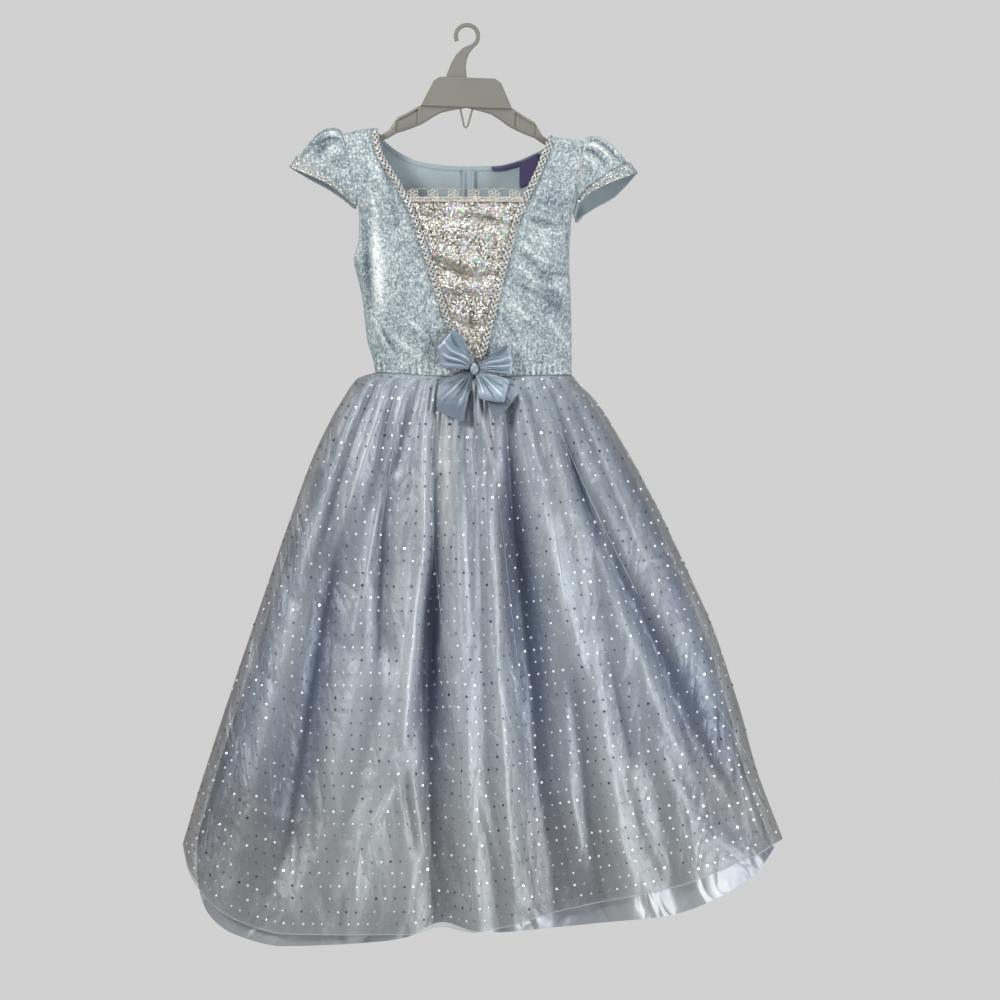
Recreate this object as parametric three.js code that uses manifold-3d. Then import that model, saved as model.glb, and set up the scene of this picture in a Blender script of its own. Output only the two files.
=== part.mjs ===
// A child's princess costume dress on a plastic hanger: velvet bodice with a sequin inset, cap sleeves, a gathered
// satin skirt under a dotted organza one, and a ribbon bow. Millimetres, Z up, X to the right as the front is seen
// and Y away from the viewer. The origin is the point inside the hook's crown that rests on the peg.
import * as THREE from "three";
import { mergeVertices } from "three/addons/utils/BufferGeometryUtils.js";
import Module from "manifold-3d";

const wasm = await Module();
wasm.setup();

// Wall thicknesses, and the gaps that keep neighbouring pieces apart
const VELVET = 1.8;
const SATIN = 1.0;
const ORGANZA = 1.0;
const SEQUIN_CLOTH = 1.6;
const RIBBON = 1.1;
const TRIM = 1.2;
const LABEL = 1.0;
const SEAM_GAP = 0.3;
const INSET_GAP = 0.7;
const LAY_GAP = 0.4;
const BRAID_GAP = 1.2;
const TAPE_GAP = 1;
const LINING_GAP = 0.9;

// Hanger
const HANGER_ROLL = THREE.MathUtils.degToRad(2);
const ARM_DEPTH = 8;
const ARM_REACH = 144;
const ARM_ROUNDING = 2.4;
const ARM_STEP = 11;
const CHANNEL = { rib: 3, depth: 1.5, from: 58, to: 84 };
const PLATE = { top: -61, bottom: -97, halfTop: 38, halfBottom: 55, corner: 5, depth: 13, rounding: 1.2 };
const HOOK = { innerRadius: 11, thick: 5, depth: 6, rounding: 1, from: -60, to: 205 };
const HOOK_STEM = [
  { x: -13, z: -66, half: 14 },
  { x: -12, z: -56, half: 11.5 },
  { x: -10, z: -45, half: 9 },
  { x: -6.5, z: -36, half: 7 },
  { x: -1, z: -28.5, half: 5 },
];
const LOOP = { halfTop: 8, halfBottom: 2.2, top: -95, bottom: -121, round: 2, thick: 2.4, depth: 4 };
// The arm's upper and lower edges, by distance out from the middle
const ARM = [
  { out: 0, top: -84, bottom: -97 },
  { out: 30, top: -86, bottom: -104 },
  { out: 52, top: -94, bottom: -118 },
  { out: 70, top: -105, bottom: -126 },
  { out: 86, top: -114, bottom: -131.5 },
  { out: 90, top: -119, bottom: -133 },
  { out: 95, top: -133.4, bottom: -139.6 },
  { out: 124, top: -136, bottom: -144 },
  { out: 146, top: -138, bottom: -147 },
];

// The fold of the shoulders, the velvet's highest line, and the rows of each panel: the first of them roll over the
// fold
const SHOULDER_RADIUS = 9;
const SHOULDER_LINE = [
  { x: -152, z: -128 },
  { x: -108, z: -121 },
  { x: 102, z: -131.5 },
  { x: 142, z: -137 },
];
const PANEL_GRID = { roll: 3, rows: 14, front: 7, back: 10 };
const NECK = { left: -108, right: 102 };
const WAIST = { left: -109, right: 126 };
const WAIST_LINE = [
  { x: -109, z: -414 },
  { x: 0, z: -420 },
  { x: 126, z: -417 },
];
// The bodice's outline and its depth: armhole down to z -232, and the side seam below it
const BODICE = [
  { z: -118, left: -150, right: 143, edge: 9, front: 9, back: 9 },
  { z: -130, left: -148, right: 142, edge: 9.5, front: 10, back: 10 },
  { z: -150, left: -143, right: 137, edge: 12, front: 13.5, back: 12.5 },
  { z: -175, left: -137, right: 133, edge: 14, front: 18, back: 15 },
  { z: -205, left: -132, right: 131, edge: 11, front: 22, back: 17 },
  { z: -222, left: -129, right: 127, edge: 5, front: 24, back: 18 },
  { z: -232, left: -128.5, right: 125, edge: 0, front: 25, back: 19 },
  { z: -256, left: -129.5, right: 123, edge: 0, front: 27, back: 20 },
  { z: -280, left: -135, right: 122, edge: 0, front: 28, back: 21 },
  { z: -303, left: -130, right: 123, edge: 0, front: 28, back: 21 },
  { z: -326, left: -125, right: 124, edge: 0, front: 28, back: 21 },
  { z: -376, left: -119, right: 125, edge: 0, front: 26, back: 20 },
  { z: -400, left: -112, right: 125, edge: 0, front: 25, back: 20 },
  { z: -425, left: -107, right: 126, edge: 0, front: 25, back: 20 },
];
// The braided edges of the front opening, from the shoulders to the waist
const FRONT_EDGE = [
  { z: -118, left: -110, right: 105 },
  { z: -135, left: -109, right: 100 },
  { z: -152, left: -105, right: 94 },
  { z: -173, left: -93, right: 86 },
  { z: -196, left: -79, right: 75 },
  { z: -222, left: -66, right: 63 },
  { z: -260, left: -53, right: 52 },
  { z: -290, left: -43, right: 44 },
  { z: -322, left: -33, right: 36 },
  { z: -346, left: -25, right: 30 },
  { z: -380, left: -12, right: 22 },
  { z: -425, left: 1, right: 12 },
];
const INSET_TOP = -209;
const BACK_NECK = [
  { x: -108, z: -124 },
  { x: -96, z: -139 },
  { x: -80, z: -151 },
  { x: -59, z: -160 },
  { x: -26, z: -165.5 },
  { x: 0, z: -166.5 },
  { x: 37, z: -165.5 },
  { x: 56, z: -161.5 },
  { x: 77, z: -153 },
  { x: 94, z: -144 },
  { x: 102, z: -128 },
];
const CENTRE_BACK = { top: 2, bottom: 6, from: -175, drop: 245 };
// The bodice's section: how square it is where its edge is thin and where it is deep
const SECTION = { corner: 0.8, thin: 0.8, deep: 1.8, deepEdge: 12 };
// How near the creases come to the bodice's side and to its waist, where its columns are spaced out, and the edge
// depth below which front and back are sewn together
const CREASE_ROOM = { side: 6, waist: 30 };
const SPACING_HEIGHT = -140;
const CLOSED_EDGE = 0.4;
// Long soft creases in the velvet: a line from one point to another, its half width and how far it stands out
const CREASES = [
  { x0: -112, z0: -235, x1: -104, z1: -340, half: 7, out: 4 },
  { x0: -121, z0: -240, x1: -116, z1: -330, half: 5, out: -4 },
  { x0: -122, z0: -150, x1: -92, z1: -205, half: 5, out: 2 },
  { x0: 88, z0: -300, x1: 114, z1: -345, half: 7, out: -2.5 },
  { x0: 70, z0: -250, x1: 105, z1: -262, half: 7, out: 2 },
];
// Swags of the sequin cloth: height at the middle, drop towards the middle, half width and depth. They keep a share
// of their depth at the sides, and die out at the top and the bottom.
const SWAG_SIDE = 0.35;
const SWAG_ENDS = 8;
const SWAGS = [
  { z: -232, drop: 5, half: 7, out: -3 },
  { z: -250, drop: 6, half: 12, out: 2.5 },
  { z: -297, drop: 14, half: 9, out: -4 },
  { z: -322, drop: 10, half: 12, out: 2.5 },
  { z: -358, drop: 5, half: 8, out: -2.5 },
];

// Cap sleeves: the hem's front and back lines from the tip to the underarm, and the puff above the fold
const SLEEVES = {
  left: {
    side: -1,
    top: -127,
    end: { front: -208, back: -212 },
    front: [
      { t: 0, x: -210, z: -169 },
      { t: 0.3, x: -188, z: -178 },
      { t: 0.6, x: -163, z: -190 },
      { t: 0.85, x: -144, z: -204 },
      { t: 1, x: -134, z: -212 },
    ],
    back: [
      { t: 0, x: -210, z: -169 },
      { t: 0.3, x: -188, z: -182 },
      { t: 0.6, x: -164, z: -195 },
      { t: 0.85, x: -144, z: -209 },
      { t: 1, x: -134, z: -217 },
    ],
    puff: 19,
    spread: 15,
    dent: 6,
  },
  right: {
    side: 1,
    top: -135,
    end: { front: -204, back: -224 },
    front: [
      { t: 0, x: 202, z: -176 },
      { t: 0.3, x: 172, z: -187 },
      { t: 0.6, x: 150, z: -197 },
      { t: 0.85, x: 138, z: -205 },
      { t: 1, x: 134, z: -209 },
    ],
    back: [
      { t: 0, x: 202, z: -176 },
      { t: 0.3, x: 176, z: -203 },
      { t: 0.6, x: 152, z: -217 },
      { t: 0.85, x: 137, z: -227 },
      { t: 1, x: 131, z: -234 },
    ],
    puff: 15,
    spread: 19,
    dent: 0,
  },
};
// How a sleeve is drawn between its armhole and its hem: the spacing round it, where the armhole and the mouth reach
// their full depth, where the mouth closes under the arm, the height of the fullest place, and how it fades down
const CAP = { spacing: 1.6, deepFrom: 0.6, mouth: 0.9, closeFrom: 0.7, fullest: 0.8, fade: 0.5, swell: 0.5, seam: 6 };
const DENT = { s: 0.55, halfS: 0.16, a: 0.36, halfA: 0.09 };
const SLEEVE_GATHERS = 8;
const SLEEVE_GATHER_HEIGHT = 2;
const SLEEVE_TRIM = { from: 0.84, to: 1.02 };
const SLEEVE_OFF_BODICE = 1.4;

// The skirt: its hem from side seam to side seam, and how far it puffs out and stands off below the waist
const HEM = [
  { u: -1, x: -341, z: -980 },
  { u: -0.94, x: -334, z: -1024 },
  { u: -0.86, x: -315, z: -1062 },
  { u: -0.75, x: -279, z: -1086 },
  { u: -0.6, x: -220, z: -1099 },
  { u: -0.42, x: -144, z: -1096 },
  { u: -0.22, x: -70, z: -1089 },
  { u: -0.11, x: -30, z: -1075 },
  { u: 0, x: 12, z: -1083 },
  { u: 0.22, x: 90, z: -1078 },
  { u: 0.45, x: 172, z: -1070 },
  { u: 0.65, x: 246, z: -1062 },
  { u: 0.8, x: 306, z: -1041 },
  { u: 0.91, x: 350, z: -1014 },
  { u: 1, x: 379, z: -974 },
];
const SPREAD = [
  { w: 0, left: 0, right: 0, front: 25, back: 20 },
  { w: 0.015, left: 20, right: 3, front: 33, back: 25 },
  { w: 0.05, left: 26, right: 13, front: 43, back: 30 },
  { w: 0.1, left: 31, right: 20, front: 50, back: 34 },
  { w: 0.18, left: 34, right: 26, front: 56, back: 38 },
  { w: 0.31, left: 31, right: 31, front: 62, back: 42 },
  { w: 0.5, left: 24, right: 32, front: 69, back: 47 },
  { w: 0.7, left: 16, right: 21, front: 76, back: 52 },
  { w: 0.87, left: 8, right: 5, front: 82, back: 56 },
  { w: 1, left: 0, right: 0, front: 86, back: 60 },
];
// How much of the full length each layer has, from side seam to side seam
const LENGTHS = [
  { u: -1, organza: 1, satin: 0.99 },
  { u: -0.86, organza: 0.972, satin: 1 },
  { u: -0.6, organza: 0.978, satin: 1 },
  { u: -0.3, organza: 0.988, satin: 1 },
  { u: -0.1, organza: 1, satin: 0.993 },
  { u: 0.1, organza: 0.99, satin: 1 },
  { u: 0.25, organza: 0.974, satin: 1 },
  { u: 0.45, organza: 0.961, satin: 1 },
  { u: 0.7, organza: 0.951, satin: 1 },
  { u: 0.86, organza: 0.956, satin: 1 },
  { u: 0.94, organza: 0.975, satin: 1.01 },
  { u: 1, organza: 1, satin: 1.02 },
];
// How far the satin hangs inside the organza, in the middle and at the sides
const LAYER_GAP = [
  { w: 0, middle: 1.8, side: 2.4 },
  { w: 0.03, middle: 4, side: 5.5 },
  { w: 0.1, middle: 6.5, side: 8 },
  { w: 0.4, middle: 8, side: 12 },
  { w: 1, middle: 8.5, side: 16 },
];
// The largest folds: where each starts and ends down the skirt and across it, its half width and how far it stands
// out, negative for a valley. Across, u runs from -1 at the left side seam to 1 at the right one.
const FRONT_FOLDS = [
  { u0: 0.2, u1: 0.28, w0: 0.03, w1: 1, half: 0.085, out: -15 },
  { u0: 0.58, u1: 0.92, w0: 0.05, w1: 0.9, half: 0.05, out: -13 },
  { u0: -0.55, u1: -0.42, w0: 0.04, w1: 0.5, half: 0.05, out: -9 },
  { u0: -0.25, u1: -0.12, w0: 0.2, w1: 1, half: 0.06, out: -13 },
  { u0: -0.7, u1: -0.62, w0: 0.2, w1: 0.85, half: 0.06, out: -11 },
  { u0: -0.22, u1: -0.44, w0: 0.15, w1: 1, half: 0.06, out: 10 },
  { u0: 0.06, u1: 0.13, w0: 0.02, w1: 0.9, half: 0.04, out: 8 },
  { u0: -0.13, u1: 0, w0: 0.05, w1: 1, half: 0.045, out: 9 },
  { u0: 0.36, u1: 0.56, w0: 0.08, w1: 1, half: 0.06, out: 11 },
  { u0: 0.7, u1: 0.76, w0: 0.1, w1: 1, half: 0.06, out: 9 },
  { u0: -0.84, u1: -0.8, w0: 0.1, w1: 1, half: 0.06, out: 9 },
  { u0: -0.4, u1: -0.6, w0: 0.3, w1: 1, half: 0.07, out: 8 },
  { u0: 0.45, u1: 0.4, w0: 0.45, w1: 1, half: 0.06, out: -9 },
];
const BACK_FOLDS = [
  { u0: -0.75, u1: -0.78, w0: 0.06, w1: 1, half: 0.06, out: 8 },
  { u0: -0.58, u1: -0.62, w0: 0.08, w1: 1, half: 0.06, out: -9 },
  { u0: -0.38, u1: -0.44, w0: 0.05, w1: 1, half: 0.07, out: 9 },
  { u0: -0.2, u1: -0.22, w0: 0.1, w1: 1, half: 0.06, out: -9 },
  { u0: -0.02, u1: 0.02, w0: 0.04, w1: 1, half: 0.07, out: 8 },
  { u0: 0.18, u1: 0.24, w0: 0.06, w1: 1, half: 0.06, out: -10 },
  { u0: 0.4, u1: 0.46, w0: 0.05, w1: 1, half: 0.07, out: 9 },
  { u0: 0.6, u1: 0.66, w0: 0.1, w1: 1, half: 0.06, out: -8 },
  { u0: 0.78, u1: 0.82, w0: 0.06, w1: 1, half: 0.06, out: 8 },
];
const GATHERS = { front: 12, back: 9 };
const GATHER_HEIGHT = [
  { w: 0, out: 0 },
  { w: 0.02, out: 2.6 },
  { w: 0.1, out: 4 },
  { w: 0.3, out: 3.2 },
  { w: 0.55, out: 1.2 },
  { w: 1, out: 0 },
];
const GATHER_WANDER = { turns: 0.5, waves: 5 };
// How the skirt's section is drawn: the share of even spacing at the waist, how the puff grows towards the sides, how
// near the sides the satin draws in, how square the section is, and how a fold starts and ends
const ROUND = { even: 0.55, puff: 1.5, drawIn: 5, square: 2.4, full: 0.6 };
const FOLD_FADE = { start: 3, end: 5, past: 1.12 };
const ROW_CROWDING = 1.6;

// Trims and labels
const EDGE_LAP = 3.5;
const BRAID = { wide: 9, narrow: 6, step: 12, from: -122, top: 3.6, bottom: -398 };
const FLOWER = { first: -62, pitch: 23.6, count: 6, z: -201, radius: 8, petals: 6, notch: 2 };
const LACE = {
  top: -207,
  bottom: -213,
  thick: 1.2,
  flowerThick: 1.9,
  threadThick: 0.9,
  thread: 1.6,
  rise: 4,
  threadZ: -194,
  side: 3,
  sideZ: -210,
};
const PLACKET = { left: -4, right: 11, top: -171, bottom: -404 };
const CARE_LABEL = { left: 64, right: 86, below: 2.5, height: 27 };
const NECK_LABEL = { left: 28, right: 61, below: 1.2, height: 7.5 };
const LONG_STRIP = 100;

// The bow: the depth of what it lies on, its gathered middle, and each piece as a fan from one angle to another in
// degrees, with its reach at both corners and between them, and how far its two layers stand apart
const BOW_LIE = [
  { z: -345, y: -33 },
  { z: -380, y: -31.5 },
  { z: -400, y: -30 },
  { z: -416, y: -29 },
  { z: -425, y: -35 },
  { z: -432, y: -41 },
  { z: -448, y: -50 },
  { z: -485, y: -59 },
];
const KNOT = { x: 9, y: -31.4, z: -411, halfWidth: 6.5, halfHeight: 7, halfDepth: 4.5, gap: 0.65 };
const BOW = [
  { name: "bow_loop_left", from: 177, to: 107, near: 41, middle: 51, far: 53, deep: 9, off: 1, root: 0.8 },
  { name: "bow_loop_right", from: -9, to: 43, near: 45, middle: 47, far: 49, deep: 9, off: 1, root: 0.8 },
  { name: "bow_loop_lower", from: -80, to: -17, near: 36, middle: 53, far: 45, deep: 8, off: 3, root: 0.8 },
  { name: "bow_tail_left", from: 198, to: 258, near: 44, middle: 67, far: 65, deep: 0, off: 1.4, root: -2.9 },
  { name: "bow_tail_right", from: -24, to: -69, near: 61, middle: 61, far: 67, deep: 0, off: 1, root: -2.9 },
];
const RIBBON_PLEATS = { count: 3, height: 0.6 };
const LOOP_SHAPE = { blunt: 0.8, closed: 0.2, settle: 2.5 };

const clamp01 = (t) => Math.min(1, Math.max(0, t));
const ease = (t) => clamp01(t) ** 2 * (3 - 2 * clamp01(t));
const lerp = THREE.MathUtils.lerp;
const steps = (n, f) => Array.from({ length: n + 1 }, (_, i) => f(i / n));

// A smooth curve through one column of a table, with no overshoot between its rows.
function curve(rows, key, column) {
  const sorted = [...rows].sort((a, b) => a[key] - b[key]);
  const at = sorted.map((row) => row[key]);
  const value = sorted.map((row) => row[column]);
  const slope = at.slice(1).map((a, i) => (value[i + 1] - value[i]) / (a - at[i]));
  const tangent = value.map((_, i) => {
    if (i === 0) return slope[0];
    if (i === value.length - 1) return slope[i - 1];
    const [before, after] = [slope[i - 1], slope[i]];
    return before * after <= 0 ? 0 : (2 * before * after) / (before + after);
  });
  return (x) => {
    if (x <= at[0]) return value[0];
    if (x >= at[at.length - 1]) return value[value.length - 1];
    const i = at.findIndex((a) => a > x) - 1;
    const width = at[i + 1] - at[i];
    const t = (x - at[i]) / width;
    return (
      value[i] * (1 + 2 * t) * (1 - t) ** 2 +
      value[i + 1] * t * t * (3 - 2 * t) +
      width * (tangent[i] * t * (1 - t) ** 2 - tangent[i + 1] * t * t * (1 - t))
    );
  };
}

const columnsOf = (rows, key, names) =>
  Object.fromEntries(names.map((name) => [name, curve(rows, key, name)]));
const arm = columnsOf(ARM, "out", ["top", "bottom"]);
const bodice = columnsOf(BODICE, "z", ["left", "right", "edge", "front", "back"]);
const frontEdge = columnsOf(FRONT_EDGE, "z", ["left", "right"]);
const backNeck = curve(BACK_NECK, "x", "z");
const waistLine = curve(WAIST_LINE, "x", "z");
const shoulderLine = curve(SHOULDER_LINE, "x", "z");
const bowLie = curve(BOW_LIE, "z", "y");
const hem = columnsOf(HEM, "u", ["x", "z"]);
const spread = columnsOf(SPREAD, "w", ["left", "right", "front", "back"]);
const lengths = columnsOf(LENGTHS, "u", ["organza", "satin"]);
const layerGap = columnsOf(LAYER_GAP, "w", ["middle", "side"]);
const gatherHeight = curve(GATHER_HEIGHT, "w", "out");
const sleeveHem = Object.fromEntries(
  Object.entries(SLEEVES).map(([name, sleeve]) => [
    name,
    { front: columnsOf(sleeve.front, "t", ["x", "z"]), back: columnsOf(sleeve.back, "t", ["x", "z"]) },
  ]),
);

// A closed mesh from its vertices and triangles, turned so that its faces point out.
function closedMesh(points, triangles) {
  let volume = 0;
  for (const [a, b, c] of triangles) {
    volume += points[a].dot(new THREE.Vector3().crossVectors(points[b], points[c]));
  }
  const index = triangles.flatMap(([a, b, c]) => (volume < 0 ? [a, c, b] : [a, b, c]));
  const geometry = new THREE.BufferGeometry();
  geometry.setAttribute(
    "position",
    new THREE.Float32BufferAttribute(points.flatMap((p) => p.toArray()), 3),
  );
  geometry.setIndex(index);
  return geometry;
}

// The unit normal of a grid of points at each point, along its columns' direction crossed with its rows'.
function gridNormals(grid) {
  const rows = grid.length;
  const columns = grid[0].length;
  return grid.map((row, j) =>
    row.map((_, i) => {
      const across = grid[j][Math.min(i + 1, columns - 1)].clone().sub(grid[j][Math.max(i - 1, 0)]);
      const down = grid[Math.min(j + 1, rows - 1)][i].clone().sub(grid[Math.max(j - 1, 0)][i]);
      return across.cross(down).normalize();
    }),
  );
}

// A grid of points moved along its normals.
function movedOut(grid, distance) {
  const normals = gridNormals(grid);
  return grid.map((row, j) => row.map((p, i) => p.clone().addScaledVector(normals[j][i], distance)));
}

// A sheet of cloth as a solid: the grid moved half its thickness each way, and closed all round. The function pin
// sets the places of the edge points, where the sheet meets a neighbour.
function wall(grid, thickness, pin = () => {}) {
  const rows = grid.length;
  const columns = grid[0].length;
  const sides = [movedOut(grid, thickness / 2), movedOut(grid, -thickness / 2)];
  for (const side of sides) {
    side.forEach((row, j) => row.forEach((p, i) => pin(p, i / (columns - 1), j / (rows - 1), i, j)));
  }
  const points = sides.flat(2);
  const at = (side, j, i) => (side * rows + j) * columns + i;
  const triangles = [];
  const quad = (a, b, c, d) => triangles.push([a, b, c], [a, c, d]);
  for (let j = 0; j < rows - 1; j++) {
    for (let i = 0; i < columns - 1; i++) {
      quad(at(0, j, i), at(0, j, i + 1), at(0, j + 1, i + 1), at(0, j + 1, i));
      quad(at(1, j, i), at(1, j + 1, i), at(1, j + 1, i + 1), at(1, j, i + 1));
    }
  }
  for (let i = 0; i < columns - 1; i++) {
    quad(at(0, 0, i + 1), at(0, 0, i), at(1, 0, i), at(1, 0, i + 1));
    quad(at(0, rows - 1, i), at(0, rows - 1, i + 1), at(1, rows - 1, i + 1), at(1, rows - 1, i));
  }
  for (let j = 0; j < rows - 1; j++) {
    quad(at(0, j, 0), at(0, j + 1, 0), at(1, j + 1, 0), at(1, j, 0));
    quad(at(0, j + 1, columns - 1), at(0, j, columns - 1), at(1, j, columns - 1), at(1, j + 1, columns - 1));
  }
  return closedMesh(points, triangles);
}

// A solid through rings of points, closed by a flat fan at each end.
function loft(rings) {
  const n = rings[0].length;
  const points = rings.flat();
  const triangles = [];
  for (let j = 0; j < rings.length - 1; j++) {
    for (let i = 0; i < n; i++) {
      const [a, b] = [j * n + i, j * n + ((i + 1) % n)];
      triangles.push([a, b, b + n], [a, b + n, a + n]);
    }
  }
  const last = (rings.length - 1) * n;
  for (let i = 1; i < n - 1; i++) {
    triangles.push([0, i + 1, i], [last, last + i, last + i + 1]);
  }
  return closedMesh(points, triangles);
}

// Solids for joining and cutting, and back again.
function solidOf(geometry) {
  const bare = geometry.clone();
  bare.deleteAttribute("normal");
  bare.deleteAttribute("uv");
  const merged = mergeVertices(bare, 1e-3);
  return new wasm.Manifold(
    new wasm.Mesh({
      numProp: 3,
      vertProperties: merged.attributes.position.array,
      triVerts: new Uint32Array(merged.index.array),
    }),
  );
}

function geometryOf(solid) {
  const mesh = solid.getMesh();
  const geometry = new THREE.BufferGeometry();
  geometry.setAttribute("position", new THREE.BufferAttribute(new Float32Array(mesh.vertProperties), 3));
  geometry.setIndex(new THREE.BufferAttribute(new Uint32Array(mesh.triVerts), 1));
  return geometry;
}

// An outline in the XZ plane, extruded through the given depth and centred on y.
function plate(outline, depth, y = 0, bevel = 0, bevelSteps = 1) {
  const shape = new THREE.Shape(outline.map(([x, z]) => new THREE.Vector2(x, z)));
  const geometry = new THREE.ExtrudeGeometry(shape, {
    depth: depth - 2 * bevel,
    bevelEnabled: bevel > 0,
    bevelThickness: bevel,
    bevelSize: bevel,
    bevelOffset: -bevel,
    bevelSegments: bevelSteps,
    curveSegments: 6,
  });
  geometry.rotateX(Math.PI / 2);
  geometry.translate(0, y + depth / 2 - bevel, 0);
  return geometry;
}

// Hanger

// The outline of an arm, from one distance out to another, and a margin inside its edges.
function armOutline(inside, from, to) {
  const outs = steps(Math.ceil((to - from) / ARM_STEP), (t) => lerp(from, to, t));
  const upper = outs.map((x) => [x, arm.top(x) - inside]);
  const lower = outs.map((x) => [x, arm.bottom(x) + inside]);
  return [...upper, ...lower.reverse()];
}

// The outline of a band along a centre line whose points give their half width.
function bandOutline(line) {
  const edges = line.map((point, i) => {
    const [before, after] = [line[Math.max(i - 1, 0)], line[Math.min(i + 1, line.length - 1)]];
    const along = new THREE.Vector2(after.x - before.x, after.z - before.z).normalize();
    return [1, -1].map((s) => [point.x - s * along.y * point.half, point.z + s * along.x * point.half]);
  });
  return [...edges.map((edge) => edge[0]), ...edges.map((edge) => edge[1]).reverse()];
}

function hanger() {
  const right = armOutline(0, 0, ARM_REACH);
  const left = right.slice(1, -1).map(([x, z]) => [-x, z]).reverse();
  const { top, bottom, halfTop, halfBottom, corner, rounding } = PLATE;
  const middle = [
    [-halfBottom, bottom],
    [halfBottom, bottom],
    [halfTop + corner / 2, top - corner],
    [halfTop - corner, top],
    [-halfTop + corner, top],
    [-halfTop - corner / 2, top - corner],
  ];
  let body = solidOf(plate([...right, ...left], ARM_DEPTH, 0, ARM_ROUNDING, 2));
  body = body.add(solidOf(plate(middle, PLATE.depth, 0, rounding)));
  for (const side of [-1, 1]) {
    const channel = armOutline(CHANNEL.rib, CHANNEL.from, CHANNEL.to).map(([x, z]) => [side * x, z]);
    for (const face of [-1, 1]) {
      body = body.subtract(solidOf(plate(channel, 2 * CHANNEL.depth, (face * ARM_DEPTH) / 2)));
    }
  }
  const loop = [
    { x: -LOOP.halfTop, z: LOOP.top, half: LOOP.thick / 2 },
    { x: -LOOP.halfBottom, z: LOOP.bottom + LOOP.round, half: LOOP.thick / 2 },
    { x: 0, z: LOOP.bottom, half: LOOP.thick / 2 },
    { x: LOOP.halfBottom, z: LOOP.bottom + LOOP.round, half: LOOP.thick / 2 },
    { x: LOOP.halfTop, z: LOOP.top, half: LOOP.thick / 2 },
  ];
  body = body.add(solidOf(plate(bandOutline(loop), LOOP.depth)));
  const turned = geometryOf(body);
  const pivot = (PLATE.top + PLATE.bottom) / 2;
  turned.translate(0, 0, -pivot);
  turned.rotateY(HANGER_ROLL);
  turned.translate(0, 0, pivot);
  const radius = HOOK.innerRadius + HOOK.thick / 2;
  const crown = steps(14, (t) => THREE.MathUtils.degToRad(lerp(HOOK.from, HOOK.to, t))).map((angle) => ({
    x: radius * Math.cos(angle),
    z: radius * Math.sin(angle) - HOOK.innerRadius,
    half: HOOK.thick / 2,
  }));
  const hook = solidOf(plate(bandOutline([...HOOK_STEM, ...crown]), HOOK.depth, 0, HOOK.rounding));
  return geometryOf(solidOf(turned).add(hook));
}

// Bodice

// How far the velvet stands out at a place, in front or at the back.
function bodiceDepth(face, x, z) {
  const [left, right, edge] = [bodice.left(z), bodice.right(z), bodice.edge(z)];
  const across = clamp01(Math.abs((2 * x - left - right) / (right - left)));
  const turn = Math.acos(Math.min(1, across ** (1 / SECTION.corner)));
  const flatness = lerp(SECTION.thin, SECTION.deep, clamp01(edge / SECTION.deepEdge));
  const depth = edge + (bodice[face](z) - edge) * Math.sin(turn) ** flatness;
  const mirrored = face === "front" ? x : -x;
  const crease = CREASES.reduce((sum, c) => {
    const line = new THREE.Vector2(c.x1 - c.x0, c.z1 - c.z0);
    const along = clamp01(((mirrored - c.x0) * line.x + (z - c.z0) * line.y) / line.lengthSq());
    const away = Math.hypot(mirrored - c.x0 - along * line.x, z - c.z0 - along * line.y);
    return sum + c.out * Math.exp(-((away / c.half) ** 2));
  }, 0);
  const below = clamp01((shoulderLine(x) - VELVET / 2 - z) / SHOULDER_RADIUS);
  const room = ease((depth - edge) / CREASE_ROOM.side) * ease((z - waistLine(x)) / CREASE_ROOM.waist);
  return (depth + crease * room) * Math.sqrt(1 - (1 - below) ** 2);
}

const surface = (face, x, z, out = 0) =>
  new THREE.Vector3(x, (face === "front" ? -1 : 1) * (bodiceDepth(face, x, z) + out), z);

const centreBack = (z) =>
  lerp(CENTRE_BACK.top, CENTRE_BACK.bottom, clamp01((CENTRE_BACK.from - z) / CENTRE_BACK.drop));

// One velvet panel, from its armhole and side seam to its inner edge. Side is -1 on the left and 1 on the right.
function bodicePanel(face, side) {
  const name = side < 0 ? "left" : "right";
  const inner = face === "front" ? (z) => frontEdge[name](z) - side * EDGE_LAP : centreBack;
  const place = (c, z) => {
    const [left, right] = [bodice.left(z), bodice.right(z)];
    const [middle, half] = [(left + right) / 2, (right - left) / 2];
    const across = (inner(z) - (face === "back" ? (side * SEAM_GAP) / -2 : 0) - middle) / half;
    const end = Math.asin(Math.sign(across) * Math.abs(across) ** (1 / SECTION.corner));
    const turn = lerp((side * Math.PI) / 2, end, c);
    return middle + half * Math.sign(turn) * Math.abs(Math.sin(turn)) ** SECTION.corner;
  };
  const isNeck = (x) => face === "back" && x > NECK.left && x < NECK.right;
  const top = (x) => (isNeck(x) ? backNeck(x) : shoulderLine(x) - VELVET / 2);
  const { roll, rows } = PANEL_GRID;
  const columns = PANEL_GRID[face];
  const grid = Array.from({ length: rows + 1 }, (_, j) =>
    steps(columns, (c) => {
      const x0 = place(c, SPACING_HEIGHT);
      const start = top(place(c, top(x0)));
      const bend = SHOULDER_RADIUS * (1 - Math.cos((Math.min(j, roll) / roll) * (Math.PI / 2)));
      const down = clamp01((j - roll) / (rows - roll));
      const z = lerp(start - bend, waistLine(x0) + SEAM_GAP / 2, down);
      return surface(face, place(c, z), z);
    }),
  );
  const away = face === "front" ? -1 : 1;
  return wall(grid, VELVET, (p, c, r, i, j) => {
    const onShoulder = j === 0 && !isNeck(grid[0][i].x);
    const onSide = i === 0 && bodice.edge(p.z) < CLOSED_EDGE;
    if (onShoulder || onSide || away * p.y < SEAM_GAP / 2) p.y = (away * SEAM_GAP) / 2;
    if (i === columns) p.x = inner(p.z) + (face === "back" ? (side * SEAM_GAP) / 2 : 0);
    if (j === rows) p.z = waistLine(p.x) + SEAM_GAP / 2;
  });
}

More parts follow.
